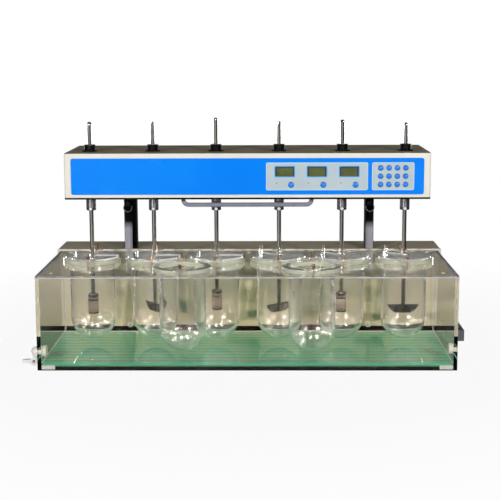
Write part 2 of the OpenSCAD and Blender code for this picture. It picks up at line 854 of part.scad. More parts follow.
// Puts what is drawn for +Y in front of and behind each place
module at_clamps(places) {
    for (place = places, turn = [0, 180])
        translate(place)
            rotate(turn)
                children();
}

module vessel_clamps() {
    color(acrylic, 0.6)
        at_clamps(vessel_places())
            vessel_clamp();
}

// A brass thumb screw that holds a clamp, through the plate and as far under it as its tail
module clamp_screw(tail) {
    collar_z = flange_top + clamp_t;
    head_z = collar_z + clamp_neck_h;
    tail_z = bath_h - tail;
    translate([0, clamp_screw_reach, 0])
        union() {
            translate([0, 0, tail_z])
                cylinder(h = head_z - tail_z + overlap, d = clamp_screw_d);
            translate([0, 0, collar_z])
                cylinder(h = clamp_collar_h, d = clamp_collar_d);
            translate([0, 0, head_z])
                cylinder(h = clamp_head_h, d = clamp_head_d);
        }
}

// The front row's screws end flush, because the bath's front wall is under them
module clamp_screws() {
    color(brass) {
        at_clamps(rear_places())
            clamp_screw(clamp_screw_tail);
        at_clamps(front_places())
            clamp_screw(0);
    }
}

// What goes through the bath's walls: the drain tap at the left, a plug at the right, two nozzles behind
module bath_fittings() {
    wall_x = bath_w / 2;
    wall_y = bath_back_y - bath_wall;
    color(white) {
        drain_tap_body();
        union() {
            rod_x(wall_x - bath_wall - fitting_nut_h, wall_x - bath_wall,
                fitting_y, plug_z, fitting_nut_d);
            rod_x(wall_x - bath_wall - overlap, wall_x + overlap, fitting_y, plug_z, fitting_d);
            rod_x(wall_x, wall_x + plug_h, fitting_y, plug_z, fitting_flange_d);
        }
        for (side = [-1, 1])
            difference() {
                union() {
                    rod_y(side * nozzle_x, wall_y - nozzle_len, cabinet_front_y + cabinet_t + overlap,
                        nozzle_z, nozzle_d);
                    rod_y(side * nozzle_x, wall_y - nozzle_len / 3, wall_y, nozzle_z, nozzle_nut_d);
                }
                rod_y(side * nozzle_x, wall_y - nozzle_len - overlap, cabinet_front_y + cabinet_t,
                    nozzle_z, nozzle_d / 2);
            }
    }
}

// The drain tap: a fitting through the left wall, an elbow and a spout towards the front
module drain_tap_body() {
    wall_x = -bath_w / 2;
    elbow_x = wall_x - elbow_reach;
    difference() {
        union() {
            rod_x(wall_x + bath_wall, wall_x + bath_wall + fitting_nut_h,
                fitting_y, fitting_z, fitting_nut_d);
            rod_x(wall_x - overlap, wall_x + bath_wall + overlap, fitting_y, fitting_z, fitting_d);
            rod_x(elbow_x, wall_x, fitting_y, fitting_z, fitting_flange_d);
            translate([elbow_x, fitting_y, spout_z])
                cylinder(h = spout_drop, d = elbow_d);
            translate([elbow_x, fitting_y, fitting_z])
                sphere(d = fitting_flange_d);
            translate([elbow_x, fitting_y, spout_z])
                sphere(d = elbow_d);
            rod_y(elbow_x, fitting_y - spout_len, fitting_y, spout_z, spout_d);
        }
        rod_y(elbow_x, fitting_y - spout_len - overlap, fitting_y, spout_z, spout_bore);
    }
}

// The tap's lever: a hub that turns on the spout and a tapered arm to the left
module drain_tap_lever() {
    elbow_x = -bath_w / 2 - elbow_reach;
    root_t = lever_hub_d / 2;
    color(white)
        translate([elbow_x, lever_y + lever_w / 2, spout_z])
            rotate([90, 0, 0])
                difference() {
                    linear_extrude(lever_w)
                        union() {
                            circle(d = lever_hub_d);
                            polygon([[0, root_t / 2], [-lever_len, lever_tip_t / 2],
                                [-lever_len, -lever_tip_t / 2], [0, -root_t / 2]]);
                        }
                    translate([0, 0, -overlap])
                        cylinder(h = lever_w + 2 * overlap, d = spout_d + 2 * run_clear);
                }
}

// What warms and moves the water, on the plinth inside the cabinet: a pump and a tube heater
module heating_unit() {
    pump_x = shaft_pitch;
    pump_d = 64;
    pump_len = 96;
    pump_z = plinth_h + pump_d / 2 + 8;
    heater_x = -shaft_pitch;
    heater_d = 50;
    heater_len = 190;
    heater_z = plinth_h + heater_d / 2 + 14;
    foot_t = 6;
    color(dark_steel) {
        union() {
            rod_x(pump_x - pump_len / 2, pump_x + pump_len / 2, cabinet_mid_y, pump_z, pump_d);
            rod_x(pump_x + pump_len / 2 - overlap, pump_x + pump_len / 2 + pump_d / 2, cabinet_mid_y, pump_z,
                pump_d * 1.2);
            box(pump_x - pump_len / 3, cabinet_mid_y - pump_d / 2, plinth_h,
                pump_len * 2 / 3, pump_d, pump_z - plinth_h - pump_d / 4);
        }
        union() {
            rod_x(heater_x - heater_len / 2, heater_x + heater_len / 2, cabinet_mid_y, heater_z, heater_d);
            for (side = [-1, 1])
                box(heater_x + side * heater_len / 3 - foot_t, cabinet_mid_y - heater_d / 2, plinth_h,
                    2 * foot_t, heater_d, heater_z - plinth_h);
        }
    }
}

// One lid: a clear disc with a centring ring, a slot for the shaft and a small knob
module lid(i) {
    ring_r_out = vessel_bore_r - lid_ring_play;
    peg_reach = ring_r_out - lid_ring_t - lid_peg_gap - lid_peg_d / 2;
    difference() {
        union() {
            translate([0, 0, lid_bottom])
                cylinder(h = lid_t, d = lid_d);
            translate([0, 0, lid_bottom - lid_ring_h])
                difference() {
                    cylinder(h = lid_ring_h + overlap, r = ring_r_out);
                    translate([0, 0, -overlap])
                        cylinder(h = lid_ring_h + overlap, r = ring_r_out - lid_ring_t);
                }
            rotate(lid_knob_turn)
                translate([lid_knob_reach, 0, lid_top - overlap])
                    cylinder(h = lid_knob_h + overlap, d = lid_knob_d);
            if (lid_slot_turn[i - 1] > 0)
                translate([-peg_reach, 0, lid_bottom - lid_peg_down])
                    cylinder(h = lid_peg_down + lid_t + lid_peg_up, d = lid_peg_d);
        }
        translate([0, 0, lid_bottom - lid_ring_h - overlap]) {
            cylinder(h = lid_ring_h + lid_t + 2 * overlap, d = lid_hole_d);
            rotate(lid_slot_turn[i - 1])
                box(0, -lid_slot_w / 2, 0, lid_d, lid_slot_w, lid_ring_h + lid_t + 2 * overlap);
        }
    }
}

module vessel_lids() {
    color(acrylic, 0.5)
        for (i = [1:shaft_count])
            translate([shaft_x(i), 0, 0])
                lid(i);
}

// The head's sheet-metal cover: open underneath, with holes for the spindles, the displays and the buttons
module head_cover() {
    color(cream)
        difference() {
            translate([0, head_mid_y, pan_top])
                linear_extrude(head_top - pan_top)
                    round_rect(head_w, head_d, cover_r);
            translate([0, head_mid_y, pan_top - overlap])
                linear_extrude(cover_inside - pan_top + overlap)
                    round_rect(head_w - 2 * cover_t, head_d - 2 * cover_t, cover_r - cover_t);
            translate([0, 0, cover_inside - overlap])
                linear_extrude(cover_t + 2 * overlap)
                    row_holes(spindle_d + 2 * overlap);
            upright(head_front_y - overlap, cover_t + 2 * overlap)
                panel_holes();
        }
}

// The head's pan: a black plate with a boss for each lower bearing
module head_pan() {
    color(black)
        difference() {
            union() {
                translate([0, head_mid_y, head_bottom])
                    linear_extrude(pan_t)
                        round_rect(head_w, head_d, cover_r);
                translate([0, 0, pan_top - overlap])
                    linear_extrude(boss_h + overlap)
                        row_holes(boss_d);
            }
            translate([0, 0, pan_top])
                linear_extrude(boss_h + overlap)
                    row_holes(bearing_od + 2 * run_clear);
            translate([0, 0, head_bottom - overlap])
                linear_extrude(pan_t + 2 * overlap)
                    row_holes(collar_d + 2 * overlap);
        }
}

// The bridge that carries the upper bearings, on a leg at each end
module drive_frame() {
    lip = 2;
    leg_x = row_half + belt_r + belt_t + frame_leg_gap;
    frame_len = 2 * (leg_x + frame_t);
    color(steel)
        difference() {
            union() {
                box(-frame_len / 2, -frame_w / 2, frame_z, frame_len, frame_w, frame_t);
                for (side = [-1, 1])
                    box(side * (leg_x + frame_t / 2) - frame_t / 2, -frame_w / 2, pan_top,
                        frame_t, frame_w, frame_z - pan_top + overlap);
            }
            translate([0, 0, frame_z + lip])
                linear_extrude(frame_t)
                    row_holes(bearing_od + 2 * run_clear);
            translate([0, 0, frame_z - overlap])
                linear_extrude(frame_t)
                    row_holes(bearing_od - 2 * lip);
        }
}

// A lower and an upper bearing for each spindle
module spindle_bearings() {
    lip = 2;
    color(steel)
        for (i = [1:shaft_count], z = [pan_top, frame_z + lip])
            translate([shaft_x(i), 0, z])
                difference() {
                    cylinder(h = bearing_w, d = bearing_od);
                    translate([0, 0, -overlap])
                        cylinder(h = bearing_w + 2 * overlap, d = spindle_d + 2 * run_clear);
                }
}

// A pulley with two rims, drawn from the bottom of its belt face up
module pulley(d) {
    cylinder(h = belt_w, d = d);
    for (z = [-pulley_rim_t, belt_w])
        translate([0, 0, z])
            cylinder(h = pulley_rim_t, d = d + 2 * pulley_rim);
}

// The gear motor on the pan
module drive_motor() {
    boss_top = pulley_z - pulley_rim_t - overlap;
    color(dark_steel)
        translate([0, motor_setback, 0])
            difference() {
                union() {
                    translate([0, 0, pan_top])
                        linear_extrude(motor_h)
                            round_rect(motor_w, motor_w, motor_w / 8);
                    translate([0, 0, pan_top + motor_h - overlap])
                        cylinder(h = boss_top - pan_top - motor_h + overlap, d = motor_shaft_d * 3);
                }
                translate([0, 0, boss_top - motor_shaft_in])
                    cylinder(h = motor_shaft_in + overlap, d = motor_shaft_d + 2 * run_clear);
            }
}

// The motor's pulley with its shaft
module motor_pulley() {
    boss_top = pulley_z - pulley_rim_t - overlap;
    shaft_z = boss_top - motor_shaft_in + overlap;
    color(steel)
        translate([0, motor_setback, 0])
            union() {
                translate([0, 0, pulley_z])
                    pulley(motor_pulley_d);
                translate([0, 0, shaft_z])
                    cylinder(h = pulley_z - shaft_z + belt_w, d = motor_shaft_d);
            }
}

// The belt's loop round the outer pulleys and the motor, grown by a distance
// Its straight runs lie a hair inside the circles, so that they cross and don't only touch
module belt_loop(grow) {
    hair = 0.02;
    r_end = belt_r + grow - hair;
    r_motor = motor_belt_r + grow - hair;
    span = sqrt(pow(row_half, 2) + pow(motor_setback, 2));
    lean = atan2(motor_setback, row_half) + asin((r_motor - r_end) / span);
    normal = [sin(lean), cos(lean)];
    for (side = [-1, 1])
        translate([side * row_half, 0])
            circle(r_end + hair);
    translate([0, motor_setback])
        circle(r_motor + hair);
    polygon([
        [-row_half, -r_end], [row_half, -r_end],
        [row_half + r_end * normal[0], r_end * normal[1]],
        [r_motor * normal[0], motor_setback + r_motor * normal[1]],
        [-r_motor * normal[0], motor_setback + r_motor * normal[1]],
        [-row_half - r_end * normal[0], r_end * normal[1]]
    ]);
}

// The toothed belt that turns all the spindles alike
module drive_belt() {
    color(black)
        translate([0, 0, pulley_z + belt_gap])
            linear_extrude(belt_w - 2 * belt_gap)
                difference() {
                    belt_loop(belt_t);
                    belt_loop(0);
                }
}

// The blue sheet on the front of the head
module front_sheet() {
    color(blue)
        upright(sheet_front_y, sheet_t)
            difference() {
                translate([0, panel_z])
                    round_rect(sheet_w, sheet_h, sheet_r);
                panel_holes();
            }
}

// The grey panels round the displays and the keys
module control_panels() {
    color("#b4cdd2")
        upright(panel_front_y, panel_t)
            difference() {
                union() {
                    translate([display_panel_x, panel_z])
                        round_rect(display_panel_w, panel_h, panel_r);
                    translate([key_panel_x, panel_z])
                        round_rect(key_panel_w, panel_h, panel_r);
                }
                panel_holes();
            }
}

// The three displays behind their windows
module display_modules() {
    color("#5d612f")
        upright(wall_inside_y, display_depth)
            for (i = [1:mode_count])
                translate([display_x(i), display_z])
                    square([display_w + 2 * display_lap, display_h + 2 * display_lap], center = true);
}

// The control board with a switch behind each button, on pillars from the front wall
module control_board() {
    board_left = display_panel_x - display_panel_w / 2;
    board_right = key_panel_x + key_panel_w / 2;
    board_mid = (board_left + board_right) / 2;
    board_w = board_right - board_left;
    color("#2d6b45")
        union() {
            upright(board_front_y, board_t)
                translate([board_mid, panel_z])
                    square([board_w, panel_h], center = true);
            upright(switch_front_y, board_front_y - switch_front_y + board_t / 2) {
                for (i = [1:mode_count])
                    translate([mode_x(i), mode_z])
                        square(switch_w, center = true);
                for (k = [1:key_columns * key_rows])
                    translate([key_x(k), key_z(k)])
                        square(switch_w, center = true);
            }
            upright(wall_inside_y, display_depth + board_t / 2)
                for (sx = [-1, 1], sz = [-1, 1])
                    translate([board_mid + sx * (board_w - pillar_d) / 2,
                        panel_z + sz * (panel_h - pillar_d) / 2])
                        circle(d = pillar_d);
        }
}

// The bar under the head that it is lifted by, bent up at both ends
module pull_bar() {
    half = pull_len / 2 - pull_d / 2;
    color(steel)
        translate([0, -pull_front, 0])
            union() {
                rod_x(-half + pull_bend_r, half - pull_bend_r, 0, pull_z, pull_d);
                for (side = [0, 1])
                    mirror([side, 0, 0])
                        translate([half - pull_bend_r, 0, pull_z + pull_bend_r]) {
                            rotate([90, 0, 0])
                                rotate(-90)
                                    rotate_extrude(angle = 90)
                                        translate([pull_bend_r, 0])
                                            circle(d = pull_d);
                            translate([pull_bend_r, 0, 0])
                                cylinder(h = head_bottom - pull_z - pull_bend_r, d = pull_d);
                        }
            }
}

// The bars at the back of the head that slide in the posts, each with a hole for its lock pin
module lift_bars() {
    color(steel)
        for (side = [-1, 1])
            difference() {
                box(side * post_x - bar_w / 2, bar_front_y, bar_stop_z + guide_clear,
                    bar_w, bar_d, bar_top - bar_stop_z - guide_clear);
                rod_y(side * post_x, bar_front_y - overlap, bar_front_y + pin_d, pin_z - lift_travel,
                    pin_d + 2 * overlap);
            }
}

// A lock pin with its eye and its pull ring
module lock_pin(x) {
    sleeve_front = post_front_y - pin_sleeve_len;
    eye_front = sleeve_front - pin_eye_len;
    color(steel)
        union() {
            rod_y(x, sleeve_front - overlap, bar_front_y - pin_nose_gap, pin_z, pin_d);
            rod_y(x, eye_front, sleeve_front - pin_nose_gap, pin_z, pin_eye_d);
            translate([x, eye_front + pin_eye_len / 3, pin_z - ring_r])
                rotate([90, 0, 0])
                    rotate_extrude()
                        translate([ring_r, 0])
                            circle(d = ring_wire_d);
        }
}

// A spindle: a tube with a collar and its nut under the head, a pulley, and a chuck on top of the head
module spindle(i) {
    collar_top = head_bottom - collar_gap;
    collar_bottom = collar_top - collar_h;
    nut_bottom = collar_bottom - collar_nut_h;
    chuck_z = head_top + chuck_gap;
    chuck_top = chuck_z + chuck_base_t + chuck_h;
    tube_top = chuck_top - chuck_grip_h;
    translate([shaft_x(i), 0, 0]) {
        color(dark_steel)
            difference() {
                union() {
                    translate([0, 0, nut_bottom])
                        cylinder(h = collar_nut_h + overlap, d = collar_nut_d);
                    translate([0, 0, collar_bottom])
                        cylinder(h = collar_h, d = collar_d);
                    translate([0, 0, collar_top - overlap])
                        cylinder(h = tube_top - collar_top + overlap, d = spindle_d);
                    translate([0, 0, pulley_z])
                        pulley(spindle_pulley_d);
                }
                translate([0, 0, nut_bottom - overlap])
                    cylinder(h = tube_top - nut_bottom + 2 * overlap, r = rod_bore_r);
            }
        color(black)
            difference() {
                union() {
                    translate([0, 0, chuck_z])
                        cylinder(h = chuck_base_t, d = chuck_base_d);
                    translate([0, 0, chuck_z + chuck_base_t - overlap])
                        cylinder(h = chuck_h + overlap, d1 = chuck_d, d2 = chuck_top_d);
                }
                translate([0, 0, chuck_z - overlap])
                    cylinder(h = tube_top - chuck_z + overlap, r = spindle_r + run_clear);
                translate([0, 0, tube_top - overlap])
                    cylinder(h = chuck_grip_h + 2 * overlap, r = rod_bore_r);
            }
    }
}

// A plain rod with a rounded top, from a height up
module basket_rod(bottom, top) {
    translate([0, 0, bottom])
        cylinder(h = top - rod_r - bottom, r = rod_r);
    translate([0, 0, top - rod_r])
        sphere(rod_r);
}

// A rod that tapers to a thinner rounded tip above its chuck
module paddle_rod(bottom, top) {
    tip_r = rod_tip_d / 2;
    taper_z = top - rod_stand / 2;
    translate([0, 0, bottom])
        cylinder(h = taper_z - bottom, r = rod_r);
    translate([0, 0, taper_z])
        cylinder(h = top - tip_r - taper_z, r1 = rod_r, r2 = tip_r);
    translate([0, 0, top - tip_r])
        sphere(tip_r);
}

// A paddle's blade: the slice of a disc between two chords
module blade(bottom) {
    translate([0, blade_t / 2, bottom + blade_h + blade_drop])
        rotate([90, 0, 0])
            linear_extrude(blade_t)
                intersection() {
                    circle(blade_arc_r);
                    translate([-blade_arc_r, -blade_drop - blade_h])
                        square([2 * blade_arc_r, blade_h]);
                }
}

// A stirring shaft: odd ones end in the cap of a basket, even ones in a paddle
module stir_shaft(i) {
    top = rod_top + shaft_rise[i - 1];
    cap_z = basket_floor(i) + basket_h;
    color(steel)
        translate([shaft_x(i), 0, 0])
            union() {
                if (is_basket(i)) {
                    basket_rod(cap_z + overlap, top);
                    translate([0, 0, cap_z])
                        cylinder(h = basket_cap_h, d = basket_d);
                    translate([0, 0, cap_z])
                        cylinder(h = basket_cap_h + basket_boss_h, d = basket_boss_d);
                } else {
                    paddle_rod(blade_bottom(i), top);
                    rotate(blade_turn[i - 1])
                        blade(blade_bottom(i));
                }
            }
}

// A basket: a cup of screen between two rims, with a row of windows for each turn of wires
module basket(i) {
    floor_z = basket_floor(i);
    inner_d = basket_d - 2 * screen_t;
    screen_h = basket_h - 2 * basket_rim_h;
    window_h = (screen_h - (screen_rows - 1) * screen_bar) / screen_rows;
    window_w = PI * basket_d / screen_columns - screen_bar;
    color("#c9b9a6")
        translate([shaft_x(i), 0, floor_z])
            difference() {
                cylinder(h = basket_h, d = basket_d);
                translate([0, 0, screen_t])
                    cylinder(h = basket_h, d = inner_d);
                for (row = [0:screen_rows - 1], column = [0:screen_columns - 1])
                    rotate(column * 360 / screen_columns)
                        box(inner_d / 2 - overlap, -window_w / 2,
                            basket_rim_h + row * (window_h + screen_bar),
                            screen_t + 2 * overlap, window_w, window_h);
            }
}

// A domed button in its hole, kept in by a collar behind the head's front wall
module button(x, z, d) {
    shank_y = panel_front_y - button_stand / 2;
    color("#1478e8")
        translate([x, 0, z])
            union() {
                rod_y(0, shank_y, button_back_y, 0, d);
                translate([0, shank_y, 0])
                    rotate([90, 0, 0])
                        cylinder(h = shank_y - button_front_y, d1 = d, d2 = d - button_stand * 2);
                rod_y(0, collar_front_y, collar_front_y + button_collar_t, 0, d + 2 * button_collar);
            }
}

module mode_button(i) {
    button(mode_x(i), mode_z, mode_d);
}

module key(k) {
    button(key_x(k), key_z(k), key_d);
}

bath_tank();
insulating_mat();
bath_pad();
base_plinth();
rear_cabinet();
lift_posts();
vessel_plate();
vessels();
vessel_clamps();
clamp_screws();
bath_fittings();
drain_tap_lever();
mains_inlet();
heating_unit();
vessel_lids();
head_cover();
head_pan();
drive_frame();
spindle_bearings();
drive_motor();
drive_belt();
motor_pulley();
front_sheet();
control_panels();
display_modules();
control_board();
pull_bar();
lift_bars();
lock_pin(-post_x);  // lock_pin_left
lock_pin(post_x);  // lock_pin_right
for (i = [1:shaft_count])
    spindle(i);
for (i = [1:shaft_count])
    stir_shaft(i);
for (i = [1:2:shaft_count])
    basket(i);
for (i = [1:mode_count])
    mode_button(i);
for (k = [1:key_columns * key_rows])
    key(k);
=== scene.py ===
# %% [markdown]
# # Dressing a dissolution tester
# The tester is already built as CAD solids with joints. This script loads those solids as a fixed frame,
# gives each of them the finish of the real material, and adds the fine pieces that solids are too plain
# for: blown glass, woven baskets, domed keys, display frames and screws. The CAD frame is in metres: X
# along the row of shafts, Y to the back, Z up. New pieces are written in mm.

import math

import bmesh
import bpy
import numpy as np
from mathutils import Matrix, Vector


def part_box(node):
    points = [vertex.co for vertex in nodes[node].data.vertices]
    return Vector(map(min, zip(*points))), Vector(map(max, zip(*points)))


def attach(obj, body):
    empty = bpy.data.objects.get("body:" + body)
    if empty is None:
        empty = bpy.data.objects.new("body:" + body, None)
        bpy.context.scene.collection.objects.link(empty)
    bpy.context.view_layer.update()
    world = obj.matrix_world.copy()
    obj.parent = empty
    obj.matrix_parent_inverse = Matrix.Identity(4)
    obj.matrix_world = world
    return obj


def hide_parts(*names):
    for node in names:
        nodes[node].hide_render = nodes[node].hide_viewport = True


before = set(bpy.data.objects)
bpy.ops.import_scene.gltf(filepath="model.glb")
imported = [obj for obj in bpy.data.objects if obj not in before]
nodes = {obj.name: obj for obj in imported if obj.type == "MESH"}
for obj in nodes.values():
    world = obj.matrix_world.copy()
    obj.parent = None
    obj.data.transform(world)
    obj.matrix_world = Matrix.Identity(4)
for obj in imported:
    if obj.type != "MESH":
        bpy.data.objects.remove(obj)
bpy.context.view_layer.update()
MM = 0.001

# %% [markdown]
# ## The camera
# The photograph was taken from a little above the head, almost square to the front. Known corners of the
# head, bath and cabinet were matched to find where the camera stood. Its three axes are worked out here
# from its turn, tilt and roll, and become the columns of the camera's matrix.

# %% Camera
PHOTO_PX = 500
FOCAL_PX = 1210.62
SENSOR_MM = 36.0
STAND = np.array([44.77, -2836.75, 709.19]) * MM
tilt, turn, roll = np.radians([9.38, -0.80, 0.21])

level = np.array([math.sin(turn), math.cos(turn), 0.0])
across = np.array([math.cos(turn), -math.sin(turn), 0.0])
upward = np.array([0.0, 0.0, 1.0])
ahead = level * math.cos(tilt) - upward * math.sin(tilt)
above = level * math.sin(tilt) + upward * math.cos(tilt)
columns = [
    across * math.cos(roll) - above * math.sin(roll),
    across * math.sin(roll) + above * math.cos(roll),
    -ahead,
]

camera_data = bpy.data.cameras.new("camera")
camera_data.sensor_width = SENSOR_MM
camera_data.lens = SENSOR_MM * FOCAL_PX / PHOTO_PX
camera_data.clip_end = 50.0
camera = bpy.data.objects.new("camera", camera_data)
camera.matrix_world = Matrix.Translation(STAND) @ Matrix(np.column_stack(columns).tolist()).to_4x4()
bpy.context.scene.collection.objects.link(camera)
bpy.context.scene.camera = camera
bpy.context.scene.view_settings.view_transform = "Standard"
print("camera: lens", round(camera_data.lens, 1), "mm")

# %% [markdown]
# ## Small tools for finishes
# Colours are written as the sRGB hex values that a colour picker shows, and one function turns them linear,
# because shaders work in linear light. One more function adds a shader node: its settings are properties,
# plain values go to its sockets, and a socket given as a value becomes a link.


# %% Colour and node helpers
def linear(code):
    """sRGB hex to linear RGBA: a low value is divided by 12.92, a higher one goes to the power of 2.4."""
    srgb = np.array([int(code[i : i + 2], 16) for i in (1, 3, 5)]) / 255
    rgb = np.where(srgb <= 0.04045, srgb / 12.92, ((srgb + 0.055) / 1.055) ** 2.4)
    return (*rgb.tolist(), 1.0)


def add(tree, kind, sockets=None, **settings):
    """Add one shader node with its settings, socket values and links, and return it."""
    node = tree.nodes.new("ShaderNode" + kind)
    for name, value in settings.items():
        setattr(node, name, value)
    for name, value in (sockets or {}).items():
        if isinstance(value, bpy.types.NodeSocket):
            tree.links.new(value, node.inputs[name])
        else:
            node.inputs[name].default_value = value
    return node


def new_finish(name, **values):
    """A new material with values set on its Principled shader: the material, its tree and that shader."""
    made = bpy.data.materials.new(name)
    made.use_nodes = True
    shader = made.node_tree.nodes["Principled BSDF"]
    for key, value in values.items():
        shader.inputs[key.replace("_", " ")].default_value = value
    return made, made.node_tree, shader


def calc(tree, operation, *values):
    """The result of a Math node on numbers or sockets."""
    return add(tree, "Math", dict(enumerate(values)), operation=operation).outputs["Value"]


def ranged(tree, value, start, end, low=0.0, high=1.0):
    """A value between start and end, carried over to low and high and held at both ends."""
    limits = {"From Min": start, "From Max": end, "To Min": low, "To Max": high}
    return add(tree, "MapRange", {"Value": value, **limits}).outputs["Result"]


def spot(tree, axis, space="Object"):
    """One coordinate of the shaded point, in metres on the piece at rest unless another space is named."""
    return add(tree, "SeparateXYZ", {"Vector": add(tree, "TexCoord").outputs[space]}).outputs[axis]


print("node helpers ready")

# %% [markdown]
# Paint, plastic and metal are never one flat colour. A slow noise moves each finish between two close
# tones, and its roughness goes with it. The size of a noise is given in millimetres on the real surface.


# %% Finish helpers
CLOUD_LOW, CLOUD_HIGH = 0.3, 0.7
LEVEL_FROM, LEVEL_TO = 0.6, 0.95


def per_mm(size):
    """The scale of a pattern whose features are about size millimetres wide."""
    return 1.0 / (size * MM)


def noise(tree, size_mm, detail, roughness=0.5):
    """A noise with features of one size in mm, or of three sizes where it is stretched along the axes."""
    place = add(tree, "TexCoord").outputs["Object"]
    scale = 1.0
    if isinstance(size_mm, tuple):
        stretch = tuple(per_mm(size) for size in size_mm)
        place = add(tree, "Mapping", {"Vector": place, "Scale": stretch}).outputs["Vector"]
    else:
        scale = per_mm(size_mm)
    settings = {"Vector": place, "Scale": scale, "Detail": detail, "Roughness": roughness}
    return add(tree, "TexNoise", settings).outputs["Fac"]


def two_tone(tree, factor, colours, low=CLOUD_LOW, high=CLOUD_HIGH):
    """A ramp between two hex colours, and its colour socket."""
    ramp = add(tree, "ValToRGB", {"Fac": factor})
    for element, position, code in zip(ramp.color_ramp.elements, (low, high), colours):
        element.position = position
        element.color = linear(code)
    return ramp.outputs["Color"]


def zones(tree, shader, share, cloud, first, second):
    """Base colour in two pairs of tones: the first where the share is 0, the second where it is 1."""
    tones = {6: two_tone(tree, cloud, first), 7: two_tone(tree, cloud, second)}
    colour = add(tree, "Mix", {0: share, **tones}, data_type="RGBA").outputs[2]
    tree.links.new(colour, shader.inputs["Base Color"])


def roughen(tree, shader, cloud, roughness):
    """Roughness between two values, which follows a noise."""
    tree.links.new(ranged(tree, cloud, CLOUD_LOW, CLOUD_HIGH, *roughness), shader.inputs["Roughness"])


def soften(tree, shader, height=None, deep_mm=0.0, edge_mm=0.0):
    """The shader's normal: edges rounded by a radius in mm, then a bump as deep as deep_mm from a height."""
    normal = None
    if edge_mm:
        normal = add(tree, "Bevel", {"Radius": edge_mm * MM}, samples=4).outputs["Normal"]
    if height:
        bump = add(tree, "Bump", {"Height": height, "Distance": deep_mm * MM, "Strength": 1.0})
        if normal:
            tree.links.new(normal, bump.inputs["Normal"])
        normal = bump.outputs["Normal"]
    if normal:
        tree.links.new(normal, shader.inputs["Normal"])


def surface(name, colours, cloud_mm, roughness, grain=None, edge_mm=0.0, painted_top_shade=None, **values):
    """Cloudy colour and roughness, a grain of a size and depth in mm, soft edges, and painted shade on level
    faces.
    """
    made, tree, shader = new_finish(name, **values)
    cloud = noise(tree, cloud_mm, 4.0, 0.6)
    # Level faces take the second pair of tones: painted shade.
    if painted_top_shade:
        top_shade_share = ranged(tree, spot(tree, "Z", "Normal"), LEVEL_FROM, LEVEL_TO)
        zones(tree, shader, top_shade_share, cloud, colours, painted_top_shade)
    else:
        tree.links.new(two_tone(tree, cloud, colours), shader.inputs["Base Color"])
    roughen(tree, shader, cloud, roughness)
    if grain:
        grain_mm, grain_deep = grain
        soften(tree, shader, noise(tree, grain_mm, 2.0), grain_deep, edge_mm)
    else:
        soften(tree, shader, edge_mm=edge_mm)
    return made


print("finish helpers ready")

# %% [markdown]
# ## Studio light
# Two lamps stand in front, left and right, half a metre above the head. They meet the upright faces
# squarely and only graze the level ones, which is why the tops of the head and the cabinet are much darker
# than their fronts, and why the chucks and posts throw long crossing shadows. Two weaker lamps light the
# back. The camera sees a white backdrop. Polished parts mirror the room that the photo doesn't show: dark
# in front, as a studio is behind the camera, with a bright screen a little to the left of the camera and a
# dim one to the right. The rods owe their pale middle streak and black edges to it, and the clear front
# wall stays free of a veil.


# %% Room
FILL, SEEN_THROUGH, ASIDE_FROM, ASIDE_TO = 0.12, 0.30, 0.25, 0.6
STUDIO = ((-180, 0.10), (-100, 0.10), (-60, 0.07), (-44, 0.12), (-36, 0.75), (-14, 1.00), (-10, 0.02),
          (10, 0.02), (13, 0.40), (27, 0.40), (33, 0.03), (100, 0.04), (150, 0.10), (180, 0.10))


def studio(tree, space, sight):
    """Strength of the room for rays off the object, from a ramp over the angle round Z, 0 at the front."""
    front = calc(tree, "MULTIPLY", spot(tree, "Y", space), -1.0)
    angle = calc(tree, "ARCTAN2", spot(tree, "X", space), front)
    ramp = add(tree, "ValToRGB", {"Fac": ranged(tree, angle, -math.pi, math.pi)})
    stops = ramp.color_ramp.elements
    for degrees, _ in STUDIO[1:-1]:
        stops.new((degrees + 180) / 360)
    for stop, (_, grey) in zip(stops, STUDIO):
        stop.color = (grey, grey, grey, 1.0)
    aside = ranged(tree, calc(tree, "ABSOLUTE", angle), ASIDE_FROM, ASIDE_TO, 0.0, SEEN_THROUGH)
    through = calc(tree, "MULTIPLY", aside, sight.outputs["Is Transmission Ray"])
    return calc(tree, "MAXIMUM", ramp.outputs["Color"], through)


def off_object(tree, sight):
    """1 for a ray that a polished or clear surface has sent on, and 0 for any other."""
    return calc(tree, "MAXIMUM", sight.outputs["Is Glossy Ray"], sight.outputs["Is Transmission Ray"])


print("room:", len(STUDIO), "stops")

# %% [markdown]
# Light goes through many layers of clear sheet and glass here, so rays may be followed further than usual.
# The world is white to the camera. For other rays it is the room or a weak fill light, bright near the
# horizon and dim above.

# %% World
BOUNCES, CLEAR_BOUNCES, CLAMP = 32, 48, 200.0
LOW_SKY, HIGH_SKY, HIGH_SHARE = 0.06, 0.22, 0.12
WHITE = linear("#ffffff")
cycles = bpy.context.scene.cycles
cycles.max_bounces = BOUNCES
cycles.glossy_bounces = BOUNCES
cycles.transmission_bounces = BOUNCES
cycles.transparent_max_bounces = CLEAR_BOUNCES
cycles.caustics_refractive = False
cycles.caustics_reflective = False
cycles.sample_clamp_indirect = CLAMP

world = bpy.data.worlds.new("studio")
world.use_nodes = True
bpy.context.scene.world = world
sky = world.node_tree
sight = add(sky, "LightPath")
low_band = ranged(sky, spot(sky, "Z", "Generated"), LOW_SKY, HIGH_SKY, 1.0, HIGH_SHARE)
by_ray = {"Factor": off_object(sky, sight), "A": FILL, "B": studio(sky, "Generated", sight)}
unseen = calc(sky, "MULTIPLY", add(sky, "Mix", by_ray).outputs["Result"], low_band)
strength = calc(sky, "MAXIMUM", unseen, sight.outputs["Is Camera Ray"])
sky.links.new(strength, sky.nodes["Background"].inputs["Strength"])
sky.nodes["Background"].inputs["Color"].default_value = WHITE
print("world: fill light", FILL)

# %% [markdown]
# The floor is white paper. To the camera it glows almost white and keeps a little of its real shading near
# the object, so the object still stands on a faint shadow. Rays off the object see the room instead: the
# floor close to the bath lies in the dark, and only further off does it take on the light of the screens.

